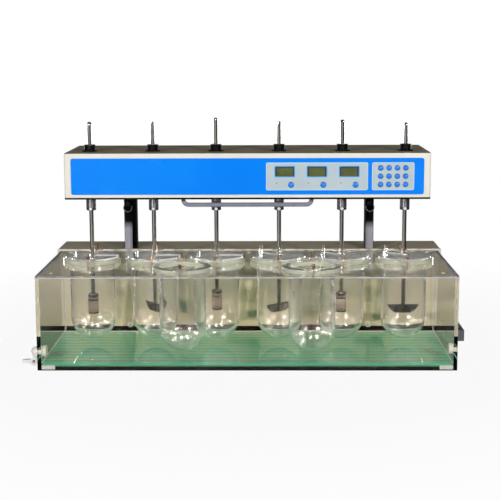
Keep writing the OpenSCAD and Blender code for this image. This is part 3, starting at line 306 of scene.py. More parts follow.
# %% Floor paper
HALF_FLOOR = 6.0
NEAR, FAR, NEAR_SHARE = 0.6, 1.4, 0.92
DARK_TO, LIT_FROM, DARK_SHARE = 0.95, 1.6, 0.03
BESIDE_FROM, BESIDE_TO = 0.5, 0.7
corners = [(x * HALF_FLOOR, y * HALF_FLOOR, 0.0) for x, y in ((-1, -1), (1, -1), (1, 1), (-1, 1))]
floor_mesh = bpy.data.meshes.new("floor")
floor_mesh.from_pydata(corners, [], [(0, 1, 2, 3)])
floor = bpy.data.objects.new("floor", floor_mesh)
bpy.context.scene.collection.objects.link(floor)

paper, tree, shader = new_finish("white backdrop paper", Base_Color=linear("#dcdcdc"), Roughness=0.9)
sight = add(tree, "LightPath")
place = add(tree, "TexCoord").outputs["Object"]
away = add(tree, "VectorMath", {0: place}, operation="LENGTH").outputs["Value"]
lit_share = ranged(tree, away, NEAR, FAR, NEAR_SHARE, 1.0)
to_camera = calc(tree, "MULTIPLY", lit_share, sight.outputs["Is Camera Ray"])
far_off = ranged(tree, away, DARK_TO, LIT_FROM, DARK_SHARE, 1.0)
far_room = calc(tree, "MULTIPLY", studio(tree, "Object", sight), far_off)
beside = ranged(tree, calc(tree, "ABSOLUTE", spot(tree, "X")), BESIDE_FROM, BESIDE_TO, 0.0, SEEN_THROUGH)
seen_beside = calc(tree, "MULTIPLY", beside, sight.outputs["Is Transmission Ray"])
room_seen = calc(tree, "MAXIMUM", far_room, seen_beside)
glow = add(tree, "Emission", {"Color": WHITE, "Strength": 1.0}).outputs["Emission"]
room = add(tree, "Emission", {"Color": WHITE, "Strength": room_seen}).outputs["Emission"]
by_eye = add(tree, "MixShader", {0: to_camera, 1: shader.outputs["BSDF"], 2: glow}).outputs["Shader"]
by_ray = add(tree, "MixShader", {0: off_object(tree, sight), 1: by_eye, 2: room}).outputs["Shader"]
tree.links.new(by_ray, tree.nodes["Material Output"].inputs["Surface"])
floor_mesh.materials.append(paper)
print("floor:", 2 * HALF_FLOOR, "m square")

# %% [markdown]
# The main lamps are small, because the shadows on the head's top and beside the posts have narrow edges.
# They stand so far apart that the shadows of two neighbouring rods don't fall on the same place.


# %% Lamps
AIM = Vector((0.0, 0.0, 0.25))
LAMP_WATTS, LAMP_SIZE, LAMP_PLACE = 43.0, 0.14, (1.55, -2.6, 1.02)
BACK_WATTS, BACK_SIZE, BACK_PLACE = 16.0, 0.5, (1.6, 2.4, 0.45)


def add_lamp(name, place, watts, size):
    """A square lamp of a size in metres, at a place in metres, turned to the middle of the object."""
    lamp = bpy.data.lights.new(name, "AREA")
    lamp.energy = watts
    lamp.size = size
    stand = bpy.data.objects.new(name, lamp)
    facing = (Vector(place) - AIM).to_track_quat("Z", "Y").to_matrix().to_4x4()
    stand.matrix_world = Matrix.Translation(place) @ facing
    bpy.context.scene.collection.objects.link(stand)
    return stand


for side, side_name in ((-1, "left"), (1, "right")):
    add_lamp("lamp_" + side_name, (side * LAMP_PLACE[0], *LAMP_PLACE[1:]), LAMP_WATTS, LAMP_SIZE)
    add_lamp("back_lamp_" + side_name, (side * BACK_PLACE[0], *BACK_PLACE[1:]), BACK_WATTS, BACK_SIZE)
print("lamps:", LAMP_WATTS, "W each in front")

# %% [markdown]
# ## Painted sheet metal
# The head's cover and the cabinet are steel sheet with a cream powder coat. The powder melts into a skin
# with a faint orange-peel grain, so highlights are soft and slightly broken. The grain is about 1 mm on the
# real sheet, and is drawn at 3 mm because a finer one wouldn't show. Level faces get a darker, browner pair
# of tones than upright ones, which is painted shade for the dim light that grazes them. The plinth and the
# pan have black lacquer, and the plinth's ear looks grey in the photo.

# %% Paint finishes
BLACK = ("#050506", "#0a0a0c")
EAR_X = 482.0 * MM
# The second pair of tones, on level faces, is painted shade.
cream_coat = surface("cream powder coat on steel", ("#ebe5d7", "#f1ece1"), 160, (0.38, 0.48),
                     grain=(3.0, 0.06), edge_mm=1.2, painted_top_shade=("#d0c4a5", "#dacfb3"))
black_lacquer = surface("black lacquer on steel", BLACK, 90, (0.16, 0.24), grain=(2.0, 0.02), edge_mm=0.8,
                        Specular_IOR_Level=0.2)

plinth_lacquer, tree, shader = new_finish("black plinth with a grey ear", Specular_IOR_Level=0.2,
                                          Roughness=0.24)
on_ear = calc(tree, "GREATER_THAN", spot(tree, "X"), EAR_X)
zones(tree, shader, on_ear, noise(tree, 90, 3.0), BLACK, ("#63626f", "#706f7c"))
print("paint finishes:", cream_coat.name, black_lacquer.name, plinth_lacquer.name, sep=", ")

# %% [markdown]
# The posts are black too, except for a strip of satin grey along the lower part of each front. Higher up
# the strip turns black, and that black is painted shadow: the head's shadow, painted onto the grey. The
# finish looks at the place of the point and changes from black to grey inside that strip, below the painted
# shadow.

# %% Post finish
POST_X, STRIP_HALF, STRIP_Y = 302.5 * MM, 9.4 * MM, 175.0 * MM
HEAD_SHADOW_FROM, HEAD_SHADOW_TO = 266.0 * MM, 286.0 * MM
post_paint_and_shadow, tree, shader = new_finish("posts with a satin grey strip and painted shadow", Specular_IOR_Level=0.08)
in_strip = calc(tree, "COMPARE", calc(tree, "ABSOLUTE", spot(tree, "X")), POST_X, STRIP_HALF)
on_front = calc(tree, "MULTIPLY", in_strip, calc(tree, "LESS_THAN", spot(tree, "Y"), STRIP_Y))
# Above this height the grey strip turns black: the head's shadow, painted.
head_shadow = ranged(tree, spot(tree, "Z"), HEAD_SHADOW_FROM, HEAD_SHADOW_TO, 1.0, 0.0)
streaks = noise(tree, (5, 5, 160), 3.0)
zones(tree, shader, calc(tree, "MULTIPLY", on_front, head_shadow), streaks, BLACK, ("#9d9ca6", "#adacb5"))
roughen(tree, shader, streaks, (0.22, 0.32))
print("post finish fades out at", round(HEAD_SHADOW_TO / MM), "mm")

# %% [markdown]
# ## Clear sheet and blown glass
# The bath, plate, lids and clamps are cast acrylic, and the vessels are borosilicate glass. Both are a
# Principled shader with transmission and the material's own index of refraction. A lamp's light would find
# its way through such a surface only by chance, so for shadow rays, and for the soft light that dull
# surfaces send on, the clear shader is swapped for plain transparency.


# %% Clear finish helper
COAT_ROUGH, FILM_ROUGH = 0.15, 0.25


def clear_finish(name, colour, passing, ior, wave, edge_mm=0.0, clear=1.0, roughness=0.0, coat=0.0, film=0.0):
    """Refraction, a slow wave of a size and depth in mm, a coat, a film that pales the edges, and a colour
    that shadow and diffuse rays pass with."""
    made, tree, shader = new_finish(
        name, Base_Color=linear(colour), Roughness=roughness, IOR=ior, Transmission_Weight=clear,
        Coat_Weight=coat, Coat_Roughness=COAT_ROUGH, Sheen_Weight=film, Sheen_Roughness=FILM_ROUGH)
    wave_mm, wave_deep = wave
    soften(tree, shader, noise(tree, wave_mm, 1.0), wave_deep, edge_mm)
    path = add(tree, "LightPath").outputs
    through = add(tree, "BsdfTransparent", {"Color": linear(passing)}).outputs["BSDF"]
    by_ray = {0: path["Is Diffuse Ray"], 1: shader.outputs["BSDF"], 2: through}
    soft_light = add(tree, "MixShader", by_ray).outputs["Shader"]
    by_lamp = {0: path["Is Shadow Ray"], 1: soft_light, 2: through}
    all_light = add(tree, "MixShader", by_lamp).outputs["Shader"]
    tree.links.new(all_light, tree.nodes["Material Output"].inputs["Surface"])
    return made


print("clear finish helper ready")

# %% [markdown]
# The lamps meet the level plate at a slant and much of their light glances off, so it passes less than the
# walls do. The flange is ground on its rim, and the clamps are milled all over, so both scatter a part of
# the light. A thin, slightly rougher coat makes the points of light that lamps leave on curved glass a
# little wider. The glass looks pale in the photo where it is seen edge on, which is taken to be a film of
# fine dust and dried water. Sawn faces of the clear sheet are frosted and almost white.

# %% Clear finishes
ACRYLIC, GLASS = 1.49, 1.47
acrylic_sheet = clear_finish("cast acrylic sheet", "#fdfbf7", "#fcfaf5", ACRYLIC, (180, 0.05))
acrylic_plate = clear_finish("cast acrylic plate", "#fdfbf7", "#e6e4df", ACRYLIC, (180, 0.05))
acrylic_cut = clear_finish("turned acrylic", "#fdfcfb", "#fdfcfb", ACRYLIC, (30, 0.05), edge_mm=0.6,
                           coat=1.0, film=0.2)
acrylic_milled = clear_finish("milled acrylic", "#f7f5f1", "#d5d3cb", ACRYLIC, (6, 0.04), edge_mm=0.6,
                              clear=0.94, roughness=0.05, coat=1.0)
vessel_glass = clear_finish("blown borosilicate glass", "#f8f6f5", "#fefdfb", GLASS, (45, 0.06),
                            coat=1.0, film=0.35)
ground_glass = clear_finish("ground glass flange", "#f4f6e2", "#dcded0", GLASS, (20, 0.10),
                            clear=0.5, roughness=0.05, coat=1.0)
sawn_edge = surface("sawn acrylic edge", ("#ddd6da", "#efe9ec"), 14, (0.4, 0.55), IOR=ACRYLIC)
saw_marks = surface("saw marks on the wall tops", ("#e6e2ee", "#f6f3fb"), 14, (0.4, 0.55), IOR=ACRYLIC)
print("clear finishes: acrylic of index", ACRYLIC, "and glass of index", GLASS)

# %% [markdown]
# ## Metals
# A metal's colour is its reflection, so each one is metallic with a base colour close to its own tint.
# Ground and turned steel has fine rings round its axis, which are drawn as a noise that is stretched flat,
# so that it changes quickly along the part and slowly round it.


# %% Metal finishes
RING_WIDE = 60


def turned_metal(name, colours, roughness, ring_mm, ring_deep, edge_mm=0.0):
    """A metal with fine rings: noise that is squeezed along Z, in the roughness and as a very small bump."""
    made, tree, shader = new_finish(name, Metallic=1.0)
    rings = noise(tree, (RING_WIDE, RING_WIDE, ring_mm), 3.0)
    tree.links.new(two_tone(tree, rings, colours), shader.inputs["Base Color"])
    roughen(tree, shader, rings, roughness)
    soften(tree, shader, rings, ring_deep, edge_mm)
    return made


STEEL = ("#c5beba", "#d2ccc8")
polished_steel = turned_metal("polished stainless steel", STEEL, (0.05, 0.08), 2.0, 0.0)
chrome_plate = turned_metal("satin chrome plate", ("#b1afb7", "#c0bec6"), (0.14, 0.22), 1.5, 0.002,
                            edge_mm=0.5)
bright_wire = turned_metal("bright drawn wire", ("#a8988c", "#bdaea3"), (0.3, 0.4), 2.0, 0.004)
dark_steel = turned_metal("oiled steel rim", ("#4a4642", "#5a5550"), (0.2, 0.3), 1.0, 0.004)
turned_brass = turned_metal("turned brass", ("#8a6f55", "#a98f78"), (0.20, 0.30), 0.8, 0.006)
milled_aluminium = turned_metal("milled aluminium", ("#a2a3a6", "#b2b3b6"), (0.30, 0.42), 4.0, 0.01)
painted_bar = surface("grey lacquered steel tube", ("#858795", "#9395a2"), 40, (0.25, 0.35), edge_mm=0.5)
cast_iron = surface("painted cast iron", ("#3a3b3f", "#4a4b50"), 25, (0.5, 0.65), grain=(1.5, 0.15))
print("metal finishes: six turned ones, two painted ones")

# %% [markdown]
# Some nodes hold two metals, and one material serves both: it looks at the height of the point and changes
# there. A lock pin is blackened, and its pull ring, which hangs below the pin, is zinc plated. A spindle
# has a chrome collar under the head and a blackened chuck on top of it.

# %% Pins and spindles
PIN_FOOT, CHUCK_FOOT = 325.5 * MM, 470.0 * MM
pin_metal, tree, shader = new_finish("blackened pin with a zinc ring", Roughness=0.4)
on_pin = calc(tree, "GREATER_THAN", spot(tree, "Z"), PIN_FOOT)
zones(tree, shader, on_pin, noise(tree, 4, 2.0), ("#a4a4a4", "#bcbcba"), ("#070708", "#0c0c0e"))

spindle_metal, tree, shader = new_finish("chrome collar and blackened chuck", Specular_IOR_Level=0.15)
on_chuck = calc(tree, "GREATER_THAN", spot(tree, "Z"), CHUCK_FOOT)
rings = noise(tree, (RING_WIDE, RING_WIDE, 1.5), 3.0)
zones(tree, shader, on_chuck, rings, ("#cdc9d2", "#dad7df"), ("#030304", "#070709"))
tree.links.new(ranged(tree, on_chuck, 0.0, 1.0, 1.0, 0.0), shader.inputs["Metallic"])
tree.links.new(ranged(tree, on_chuck, 0.0, 1.0, 0.22, 0.34), shader.inputs["Roughness"])
soften(tree, shader, edge_mm=0.6)
print("spindle finish changes at", round(CHUCK_FOOT / MM), "mm")

# %% [markdown]
# ## Paddles
# A paddle's rod is polished, and its blade has a dark grey, duller skin, so that nothing sticks to it.
# Again one material serves both, and changes at the height of the blade's upper edge. That height moves
# with the shaft, because it is measured on the piece at rest. The blade of paddle 6 is almost black in the
# photo, so its skin is darker, which is painted shade: the blade itself is the same as the others.


# %% Paddle finish
BLADE_H = 19.5 * MM
# Paddle 6's almost black pair is painted shade on a blade like the others.
SKINS = {2: ("#37352f", "#45423b"), 4: ("#37352f", "#45423b"), 6: ("#0a0a09", "#131211")}


def paddle_finish(name, blade_top, skin):
    """Polished steel above a height in metres, and a dark dull skin on the blade below it."""
    made, tree, shader = new_finish(name, Metallic=1.0)
    on_blade = calc(tree, "LESS_THAN", spot(tree, "Z"), blade_top)
    zones(tree, shader, on_blade, noise(tree, (RING_WIDE, RING_WIDE, 2), 3.0), STEEL, skin)
    tree.links.new(ranged(tree, on_blade, 0.0, 1.0, 1.0, 0.3), shader.inputs["Metallic"])
    tree.links.new(ranged(tree, on_blade, 0.0, 1.0, 0.07, 0.5), shader.inputs["Roughness"])
    return made


paddles = {}
for i, skin in SKINS.items():
    blade_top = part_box(f"stir_shaft_{i}")[0].z + BLADE_H
    paddles[f"stir_shaft_{i}"] = paddle_finish(f"paddle {i}, steel and dark skin", blade_top, skin)
print("paddle finishes:", len(paddles))

# %% [markdown]
# ## Plastics, rubber and the mat
# The tap is moulded polypropylene, waxy white with a soft sheen. The pad and belt are rubber. The buttons
# are tinted ABS, drawn darker towards the rim of the cap, which is painted shade where the dome turns away.

# %% Plastic finishes
white_plastic = surface("moulded white polypropylene", ("#ecece6", "#f5f5f0"), 12, (0.32, 0.42), edge_mm=0.6,
                        IOR=1.49, Subsurface_Weight=0.1)
black_plastic = surface("moulded black nylon", ("#0a0a0c", "#121215"), 10, (0.3, 0.42), grain=(0.8, 0.04),
                        edge_mm=0.4, IOR=1.53, Specular_IOR_Level=0.3)
black_rubber = surface("black rubber", ("#080808", "#101010"), 30, (0.6, 0.75), grain=(1.5, 0.08),
                       IOR=1.52, Specular_IOR_Level=0.2)
solder_mask = surface("green circuit board lacquer", ("#17482b", "#1f5a37"), 8, (0.3, 0.45),
                      grain=(1.0, 0.03))

CAP_FACE, CAP_RIM = -0.98, -0.75
blue_abs, tree, shader = new_finish("gloss blue ABS", IOR=1.54, Roughness=0.2)
# Darker blue towards the rim of each cap: painted shade on the dome.
rim_shade = ranged(tree, spot(tree, "Y", "Normal"), CAP_FACE, CAP_RIM)
zones(tree, shader, rim_shade, noise(tree, 6, 2.0), ("#1f83ee", "#2d8ff6"), ("#0b46a6", "#1050b4"))
print("plastic finishes: white, black, rubber, board and blue")

# %% [markdown]
# The photo shows faint streaks along the bath in the green mat under its clear floor. They are drawn as
# fine ribs, 28 mm apart. Blender's wave pattern turns through 20 radians in each unit of its scale, so one
# full turn for each rib takes a scale of 2 pi over 20 times the pitch.

# %% Mat finish
RIB_MM, RIB_DEEP, WAVE_RADIANS = 28.0, 0.2, 20
green_mat, tree, shader = new_finish("ribbed green foam mat", IOR=1.45)
place = add(tree, "TexCoord").outputs["Object"]
rib_values = {"Vector": place, "Scale": per_mm(RIB_MM) / WAVE_RADIANS * 2 * math.pi, "Distortion": 0.6}
ribs = add(tree, "TexWave", rib_values, wave_type="BANDS", bands_direction="Y").outputs["Fac"]
streaks = noise(tree, (400, 6, 60), 3.0)
tone = add(tree, "Mix", {"Factor": 0.5, "A": streaks, "B": ribs}).outputs["Result"]
# The mat is green, but its two greens are drawn lighter than the foam: that extra brightness is painted light
# for the floor.
tree.links.new(two_tone(tree, tone, ("#60deb0", "#8cfddb"), 0.25, 0.75), shader.inputs["Base Color"])
tree.links.new(ranged(tree, streaks, 0.0, 1.0, 0.6, 0.8), shader.inputs["Roughness"])
soften(tree, shader, ribs, RIB_DEEP)
cut_foam = surface("cut edge of the foam mat", ("#4f8d69", "#62a07c"), 12, (0.7, 0.8), IOR=1.45)
print("mat ribs", RIB_MM, "mm apart")

# %% [markdown]
# ## Printed front
# The blue front and the grey panels are polyester sheet, printed on the back and finely textured on the
# face.

# %% Front panel finishes
POLYESTER = 1.57
blue_print = surface("printed blue polyester sheet", ("#0484fc", "#0a8dff"), 300, (0.24, 0.28),
                     grain=(1.6, 0.02), IOR=POLYESTER, Specular_IOR_Level=0.12)
grey_print = surface("printed grey polyester sheet", ("#bcccd3", "#c5d5db"), 90, (0.24, 0.28),
                     grain=(1.6, 0.02), IOR=POLYESTER)
pale_print = surface("printed pale blue line", ("#c6dfee", "#d3e8f3"), 20, (0.34, 0.42), IOR=POLYESTER)
light_frame = surface("moulded light blue frame", ("#4aa5ea", "#5cb2f2"), 8, (0.25, 0.35), edge_mm=0.2,
                      IOR=1.53)
dark_lens = surface("unlit smoked indicator", ("#23262b", "#30343a"), 2, (0.1, 0.2), IOR=1.54)
print("front panel finishes made")

# %% [markdown]
# The displays are liquid crystal: an olive film behind glass, a little uneven because the film is. At the
# top and sides of its window the film is dark blue, which is painted shadow: the shade of the recess that the
# window sits in. The finish finds those edges from the place of the point: the distance along X to the
# nearest window's middle swings up and down like a zigzag.

# %% Display film
DISPLAY_X, DISPLAY_Z, WINDOW = (86.5, 160.5, 234.5), 433.5, (43.5, 22.5)
SIDE_SHADOW, TOP_SHADOW, SHADOW_EDGE = 4.5, 5.0, 0.5
pitch = DISPLAY_X[1] - DISPLAY_X[0]
window_half, window_top = WINDOW[0] / 2, DISPLAY_Z + WINDOW[1] / 2
crystal_film, tree, shader = new_finish("liquid crystal behind glass", IOR=1.52, Coat_Weight=1.0,
                                        Coat_Roughness=0.04, Roughness=0.3)
along = calc(tree, "ADD", spot(tree, "X"), (pitch - DISPLAY_X[0] % pitch) * MM)
from_middle = calc(tree, "PINGPONG", along, pitch / 2 * MM)
at_side = ranged(tree, from_middle, (window_half - SIDE_SHADOW) * MM, (window_half - SHADOW_EDGE) * MM)
at_top = ranged(tree, spot(tree, "Z"), (window_top - TOP_SHADOW) * MM, (window_top - SHADOW_EDGE) * MM)
# Dark blue at the top and sides of each window: the recess's shadow, painted.
recess_shadow = calc(tree, "MAXIMUM", at_side, at_top)
zones(tree, shader, recess_shadow, noise(tree, 24, 2.0), ("#565a2a", "#696c38"), ("#1b2f52", "#24395c"))
print("display film: a window every", pitch, "mm")

# %% [markdown]
# ## Finishes onto the CAD nodes
# Every node that stays in view gets its finish here. The vessels, baskets, clamp screws and buttons aren't
# in the list, because finer pieces take their place further down.

# %% Dress the nodes
DRESS = {
    "bath_tank": acrylic_sheet,
    "vessel_plate": acrylic_plate,
    "vessel_lids": acrylic_cut,
    "vessel_clamps": acrylic_milled,
    "insulating_mat": green_mat,
    "bath_pad drive_belt": black_rubber,
    "rear_cabinet head_cover": cream_coat,
    "base_plinth": plinth_lacquer,
    "head_pan": black_lacquer,
    "lift_posts": post_paint_and_shadow,
    "bath_fittings drain_tap_lever": white_plastic,
    "mains_inlet": black_plastic,
    "heating_unit drive_motor": cast_iron,
    "drive_frame motor_pulley": milled_aluminium,
    "spindle_bearings lift_bars": chrome_plate,
    "lock_pin_left lock_pin_right": pin_metal,
    "front_sheet": blue_print,
    "control_panels": grey_print,
    "display_modules": crystal_film,
    "control_board": solder_mask,
    "pull_bar": painted_bar,
    " ".join(f"spindle_{i}" for i in range(1, 7)): spindle_metal,
    "stir_shaft_1 stir_shaft_3 stir_shaft_5": polished_steel,
    **paddles,
}
dressed = 0
for names, finish in DRESS.items():
    for name in names.split():
        nodes[name].data.materials.clear()
        nodes[name].data.materials.append(finish)
        dressed += 1
print("dressed", dressed, "nodes")

# %% [markdown]
# ## Tools for new shapes
# A new piece is a grid of points worked out as whole arrays. Either a profile is carried round an axis or
# along a path, or a surface is a formula of two parameters. Then the seams are merged and the faces turned
# outwards.


# %% Shape helpers
CORNER, RIB_STEPS = 0.2, 8


def grid_faces(rows, columns, round_rows=False):
    """Quads between neighbours on a grid whose columns go round, and whose rows may go round as well."""
    row = np.arange(rows if round_rows else rows - 1)[:, None]
    column = np.arange(columns)[None, :]
    next_row, next_column = (row + 1) % rows, (column + 1) % columns
    quads = (row * columns + column, row * columns + next_column,
             next_row * columns + next_column, next_row * columns + column)
    return np.stack(np.broadcast_arrays(*quads), axis=-1).reshape(-1, 4)


def arc(across, height, radius, start, end, steps=7):
    """Points of a profile on a circle about (across, height), between two angles in degrees from level."""
    angle = np.radians(np.linspace(start, end, steps))
    return np.column_stack([across + radius * np.cos(angle), height + radius * np.sin(angle)])


def placed(sides, axis, centre):
    """Points in metres from three arrays in mm, of which the last lies along the axis, moved to a centre."""
    order = {"Z": (0, 1, 2), "Y": (0, 2, 1)}[axis]
    points = np.stack([sides[i] for i in order], axis=-1).reshape(-1, 3) + np.asarray(centre, float)
    return points * MM


def revolve(profile, centre, axis="Z", steps=48, closed=False, flutes=0, depth=0.0):
    """A profile of (radius, height) in mm carried round an axis. Flutes add depth times the cosine of flutes
    times the angle."""
    radius, height = np.asarray(profile, float).T[:, :, None]
    angle = np.linspace(0, 2 * np.pi, steps, endpoint=False)[None, :]
    ripple = radius + np.asarray(depth, float).reshape(-1, 1) * np.cos(flutes * angle)
    sides = np.broadcast_arrays(ripple * np.cos(angle), ripple * np.sin(angle), height)
    return placed(sides, axis, centre), grid_faces(len(profile), steps, round_rows=closed)


def bar(profile, start, end, centre=(0.0, 0.0), turn=0.0):
    """A closed profile of (across, height) in mm carried along X from start to end, closed at both ends by
    its middle, then turned about Z by an angle in degrees."""
    profile = np.asarray(profile, float)
    middle = np.broadcast_to(profile.mean(axis=0), profile.shape)
    rings = np.stack([middle, profile, profile, middle])
    along = np.broadcast_to(np.array([start, start, end, end], float)[:, None], rings.shape[:2])
    cosine, sine = math.cos(math.radians(turn)), math.sin(math.radians(turn))
    x = centre[0] + along * cosine - rings[..., 0] * sine
    y = centre[1] + along * sine + rings[..., 0] * cosine
    return np.stack([x, y, rings[..., 1]], axis=-1).reshape(-1, 3) * MM, grid_faces(4, len(profile))


def edge_profile(across, low, high, thick):
    """A rectangle with cut corners for a bar: its middle across, its two heights and its thickness."""
    half, cut = thick / 2, min(thick, high - low) * CORNER
    left, right = across - half, across + half
    return [(left + cut, low), (right - cut, low), (right, low + cut), (right, high - cut),
            (right - cut, high), (left + cut, high), (left, high - cut), (left, low + cut)]


def ribbed_sheet(ends_x, ends_y, low, high, swing, pitch):
    """A sheet between two X and two Y in mm: flat below, and above a wave along Y, its height plus swing
    times the cosine of a full turn for each pitch."""
    rows = int(RIB_STEPS * (ends_y[1] - ends_y[0]) / pitch)
    x, y = np.meshgrid(np.linspace(*ends_x, 3), np.linspace(*ends_y, rows))
    top = np.stack([x, y, high + swing * np.cos(2 * np.pi * y / pitch)], axis=-1)
    under = np.stack([x, y, np.full_like(x, low)], axis=-1)
    sheet = np.concatenate([top, under[:, ::-1]], axis=1)
    ends = [np.broadcast_to(sheet[end].mean(axis=0), sheet[end].shape)[None] for end in (0, -1)]
    points = np.concatenate([ends[0], sheet, ends[1]])
    return points.reshape(-1, 3) * MM, grid_faces(len(points), points.shape[1])


print("shape helpers ready")

# %% [markdown]
# A finished piece is told which body it moves with, which finish it gets, and which CAD nodes it takes the
# place of.


# %% Piece helper
def box_mm(name):
    """The lower and upper corner of a CAD node's box, in mm."""
    return (np.array(corner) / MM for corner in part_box(name))


def build(name, parts, finish, body, stands_for=(), crease=35):
    """Join parts, each (points, faces), into one mesh, merge seams, turn it outwards, put it on a body."""
    starts = np.cumsum([0] + [len(points) for points, _ in parts])
    all_points = np.concatenate([points for points, _ in parts])
    all_faces = np.concatenate([faces + start for (_, faces), start in zip(parts, starts)])
    mesh = bpy.data.meshes.new(name)
    mesh.from_pydata(all_points.tolist(), [], all_faces.tolist())
    work = bmesh.new()
    work.from_mesh(mesh)
    bmesh.ops.remove_doubles(work, verts=work.verts, dist=1e-6)
    bmesh.ops.recalc_face_normals(work, faces=work.faces)
    work.to_mesh(mesh)
    work.free()
    mesh.shade_smooth()
    mesh.set_sharp_from_angle(angle=math.radians(crease))
    mesh.materials.append(finish)
    piece = bpy.data.objects.new(name, mesh)
    bpy.context.scene.collection.objects.link(piece)
    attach(piece, body)
    if stands_for:
        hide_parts(*stands_for)
    return piece


SHAFT_PITCH = 148.0
SHAFT_X = (np.arange(6) - 2.5) * SHAFT_PITCH
SIDES = (-1, 1)
print("shafts at", SHAFT_X.tolist())

# %% [markdown]
# ## Glass vessels
# A vessel is blown glass: a tube with a round bottom and a thick flange at the mouth. CAD gave it facets,
# and facets show in glass, so it is made again as one profile carried round its axis: up the outside from
# the pole, round the mouth, and down the inside. The flange is a ring with a ground rim, so it has a finish
# and a profile of its own. The heights come from the boxes of the CAD nodes.

# %% Glass vessels
GLASS_R, GLASS_T, FLANGE_R, FRONT_Y = 53.5, 2.5, 69.0, -121.5
MOUTH_OUT, MOUTH_IN, MOUTH_SINK = 0.5, 1.2, 0.1
RIM_FOOT, RIM_TOP, PLATE_GAP, TUBE_GAP = 1.2, 2.2, 0.1, 0.05
vessel_low, vessel_high = box_mm("vessels")
plate_low, plate_high = box_mm("vessel_plate")
bowl_z, mouth_z = vessel_low[2] + GLASS_R, vessel_high[2]
under_z, bore_r = plate_high[2] + PLATE_GAP, GLASS_R - GLASS_T
vessel_profile = np.concatenate([
    arc(0, bowl_z, GLASS_R, -90, 0, 25),
    arc(GLASS_R - MOUTH_OUT, mouth_z - MOUTH_SINK - MOUTH_OUT, MOUTH_OUT, 0, 90, 4),
    arc(bore_r + MOUTH_IN, mouth_z - MOUTH_SINK - MOUTH_IN, MOUTH_IN, 90, 180),
    arc(0, bowl_z, bore_r, 0, -90, 25),
])
flange_profile = np.concatenate([
    arc(FLANGE_R - RIM_FOOT, under_z + RIM_FOOT, RIM_FOOT, -90, 0),
    arc(FLANGE_R - RIM_TOP, mouth_z - RIM_TOP, RIM_TOP, 0, 90),
    [(GLASS_R + TUBE_GAP, mouth_z), (GLASS_R + TUBE_GAP, under_z)],
])
vessel_places = [(x, 0.0) for x in SHAFT_X] + [(side * SHAFT_PITCH, FRONT_Y) for side in SIDES]
tubes = [revolve(vessel_profile, (x, y, 0), steps=72) for x, y in vessel_places]
rings = [revolve(flange_profile, (x, y, 0), steps=72, closed=True) for x, y in vessel_places]
vessels = build("glass_vessels", tubes, vessel_glass, "base", ["vessels"])
build("vessel_flanges", rings, ground_glass, "base")
vessel_h = round(mouth_z - vessel_low[2])
print("vessels:", len(vessel_places), "of", vessel_h, "mm,", len(vessels.data.polygons), "faces")

# %% [markdown]
# ## Sawn edges
# Clear sheet is sawn to size, and the saw leaves a pale frosted face. Such a face shows from inside the
# sheet, as a pale line along the ends of the plate and the slots of the lids. So it is a very thin bar just
# under the cut face.

# %% Sawn edges
CUT_T, CUT_IN, CUT_GAP, SIDE_ENDS, REAR_ENDS = 0.5, 0.35, 0.1, 0.3, 1.0
LID_UP, LID_T, LID_R, LID_GAP, LID_RIM = 0.2, 4.0, 63.0, 0.2, 1.5
SLOT_HALF, SLOT_IN, SLOT_START, SLOT_TURNS = 6.5, 0.4, 6.5, (0, 0, 0, 135, 135, 135)
cut_z = (plate_low[2] + CUT_GAP, plate_high[2] - CUT_GAP)
plate_ends = [bar(edge_profile(side * (plate_high[0] - CUT_IN), *cut_z, CUT_T),
                  -plate_high[1] + SIDE_ENDS, -plate_low[1] - SIDE_ENDS, turn=-90) for side in SIDES]
plate_ends.append(bar(edge_profile(plate_high[1] - CUT_IN, *cut_z, CUT_T),
                      plate_low[0] + REAR_ENDS, plate_high[0] - REAR_ENDS))
build("plate_end_cuts", plate_ends, sawn_edge, "base")

lid_z = mouth_z + LID_UP
slot_z = (lid_z + LID_GAP, lid_z + LID_T - LID_GAP)
slot_cuts = []
for x, slot_turn in zip(SHAFT_X, SLOT_TURNS):
    for side in SIDES:
        slot_profile = edge_profile(side * (SLOT_HALF + SLOT_IN), *slot_z, CUT_T)
        slot_cuts.append(bar(slot_profile, SLOT_START, LID_R - LID_RIM, (x, 0.0), slot_turn))
build("lid_slot_cuts", slot_cuts, sawn_edge, "lid_set")
print("sawn edges:", len(plate_ends), "on the plate,", len(slot_cuts), "on the lids")

# %% [markdown]
# ## The bath's floor
# Under the clear floor lies the green mat. Where it clings to the floor there is no air between, and its
# colour comes through clearly: that part is a ribbed green skin just inside the floor's underside. The
# mat's cut front edge stands on a black rubber lip, and a sawn block of acrylic stands under each front
# corner of the floor.

# %% Floor skin, lip and feet
WALL, BATH_H, FLOOR_RISE, FLOOR_T, GAP = 8.0, 210.0, 10.5, 4.5, 0.4
SKIN_BACK, SKIN_LOW, SKIN_HIGH, SKIN_SWING = 113.0, 0.2, 0.75, 0.15
LIP_END, LIP_Y, LIP_T, LIP_DROP, EDGE_GAP = 432.0, 2.4, 4.4, 3.0, 0.1
FOOT_Y, FOOT_T, FOOT_GAP, UNDER_GAP = 10.2, 20.0, 0.3, 0.2
bath_low, bath_high = box_mm("bath_tank")
inside_x, inside_y = bath_high[0] - WALL, bath_low[1] + WALL
floor_low = plate_low[2] - BATH_H + FLOOR_RISE
floor_top = floor_low + FLOOR_T
skin_sheet = ribbed_sheet((-inside_x + GAP, inside_x - GAP), (inside_y + GAP, SKIN_BACK),
                          floor_low + SKIN_LOW, floor_low + SKIN_HIGH, SKIN_SWING, RIB_MM)
skin = build("floor_skin", [skin_sheet], green_mat, "base")
lip_profile = edge_profile(inside_y + LIP_Y, EDGE_GAP, floor_low - LIP_DROP, LIP_T)
build("mat_lip", [bar(lip_profile, -LIP_END, LIP_END)], black_rubber, "base")
mat_profile = edge_profile(inside_y + LIP_Y, floor_low - LIP_DROP + EDGE_GAP, floor_low - UNDER_GAP, LIP_T)
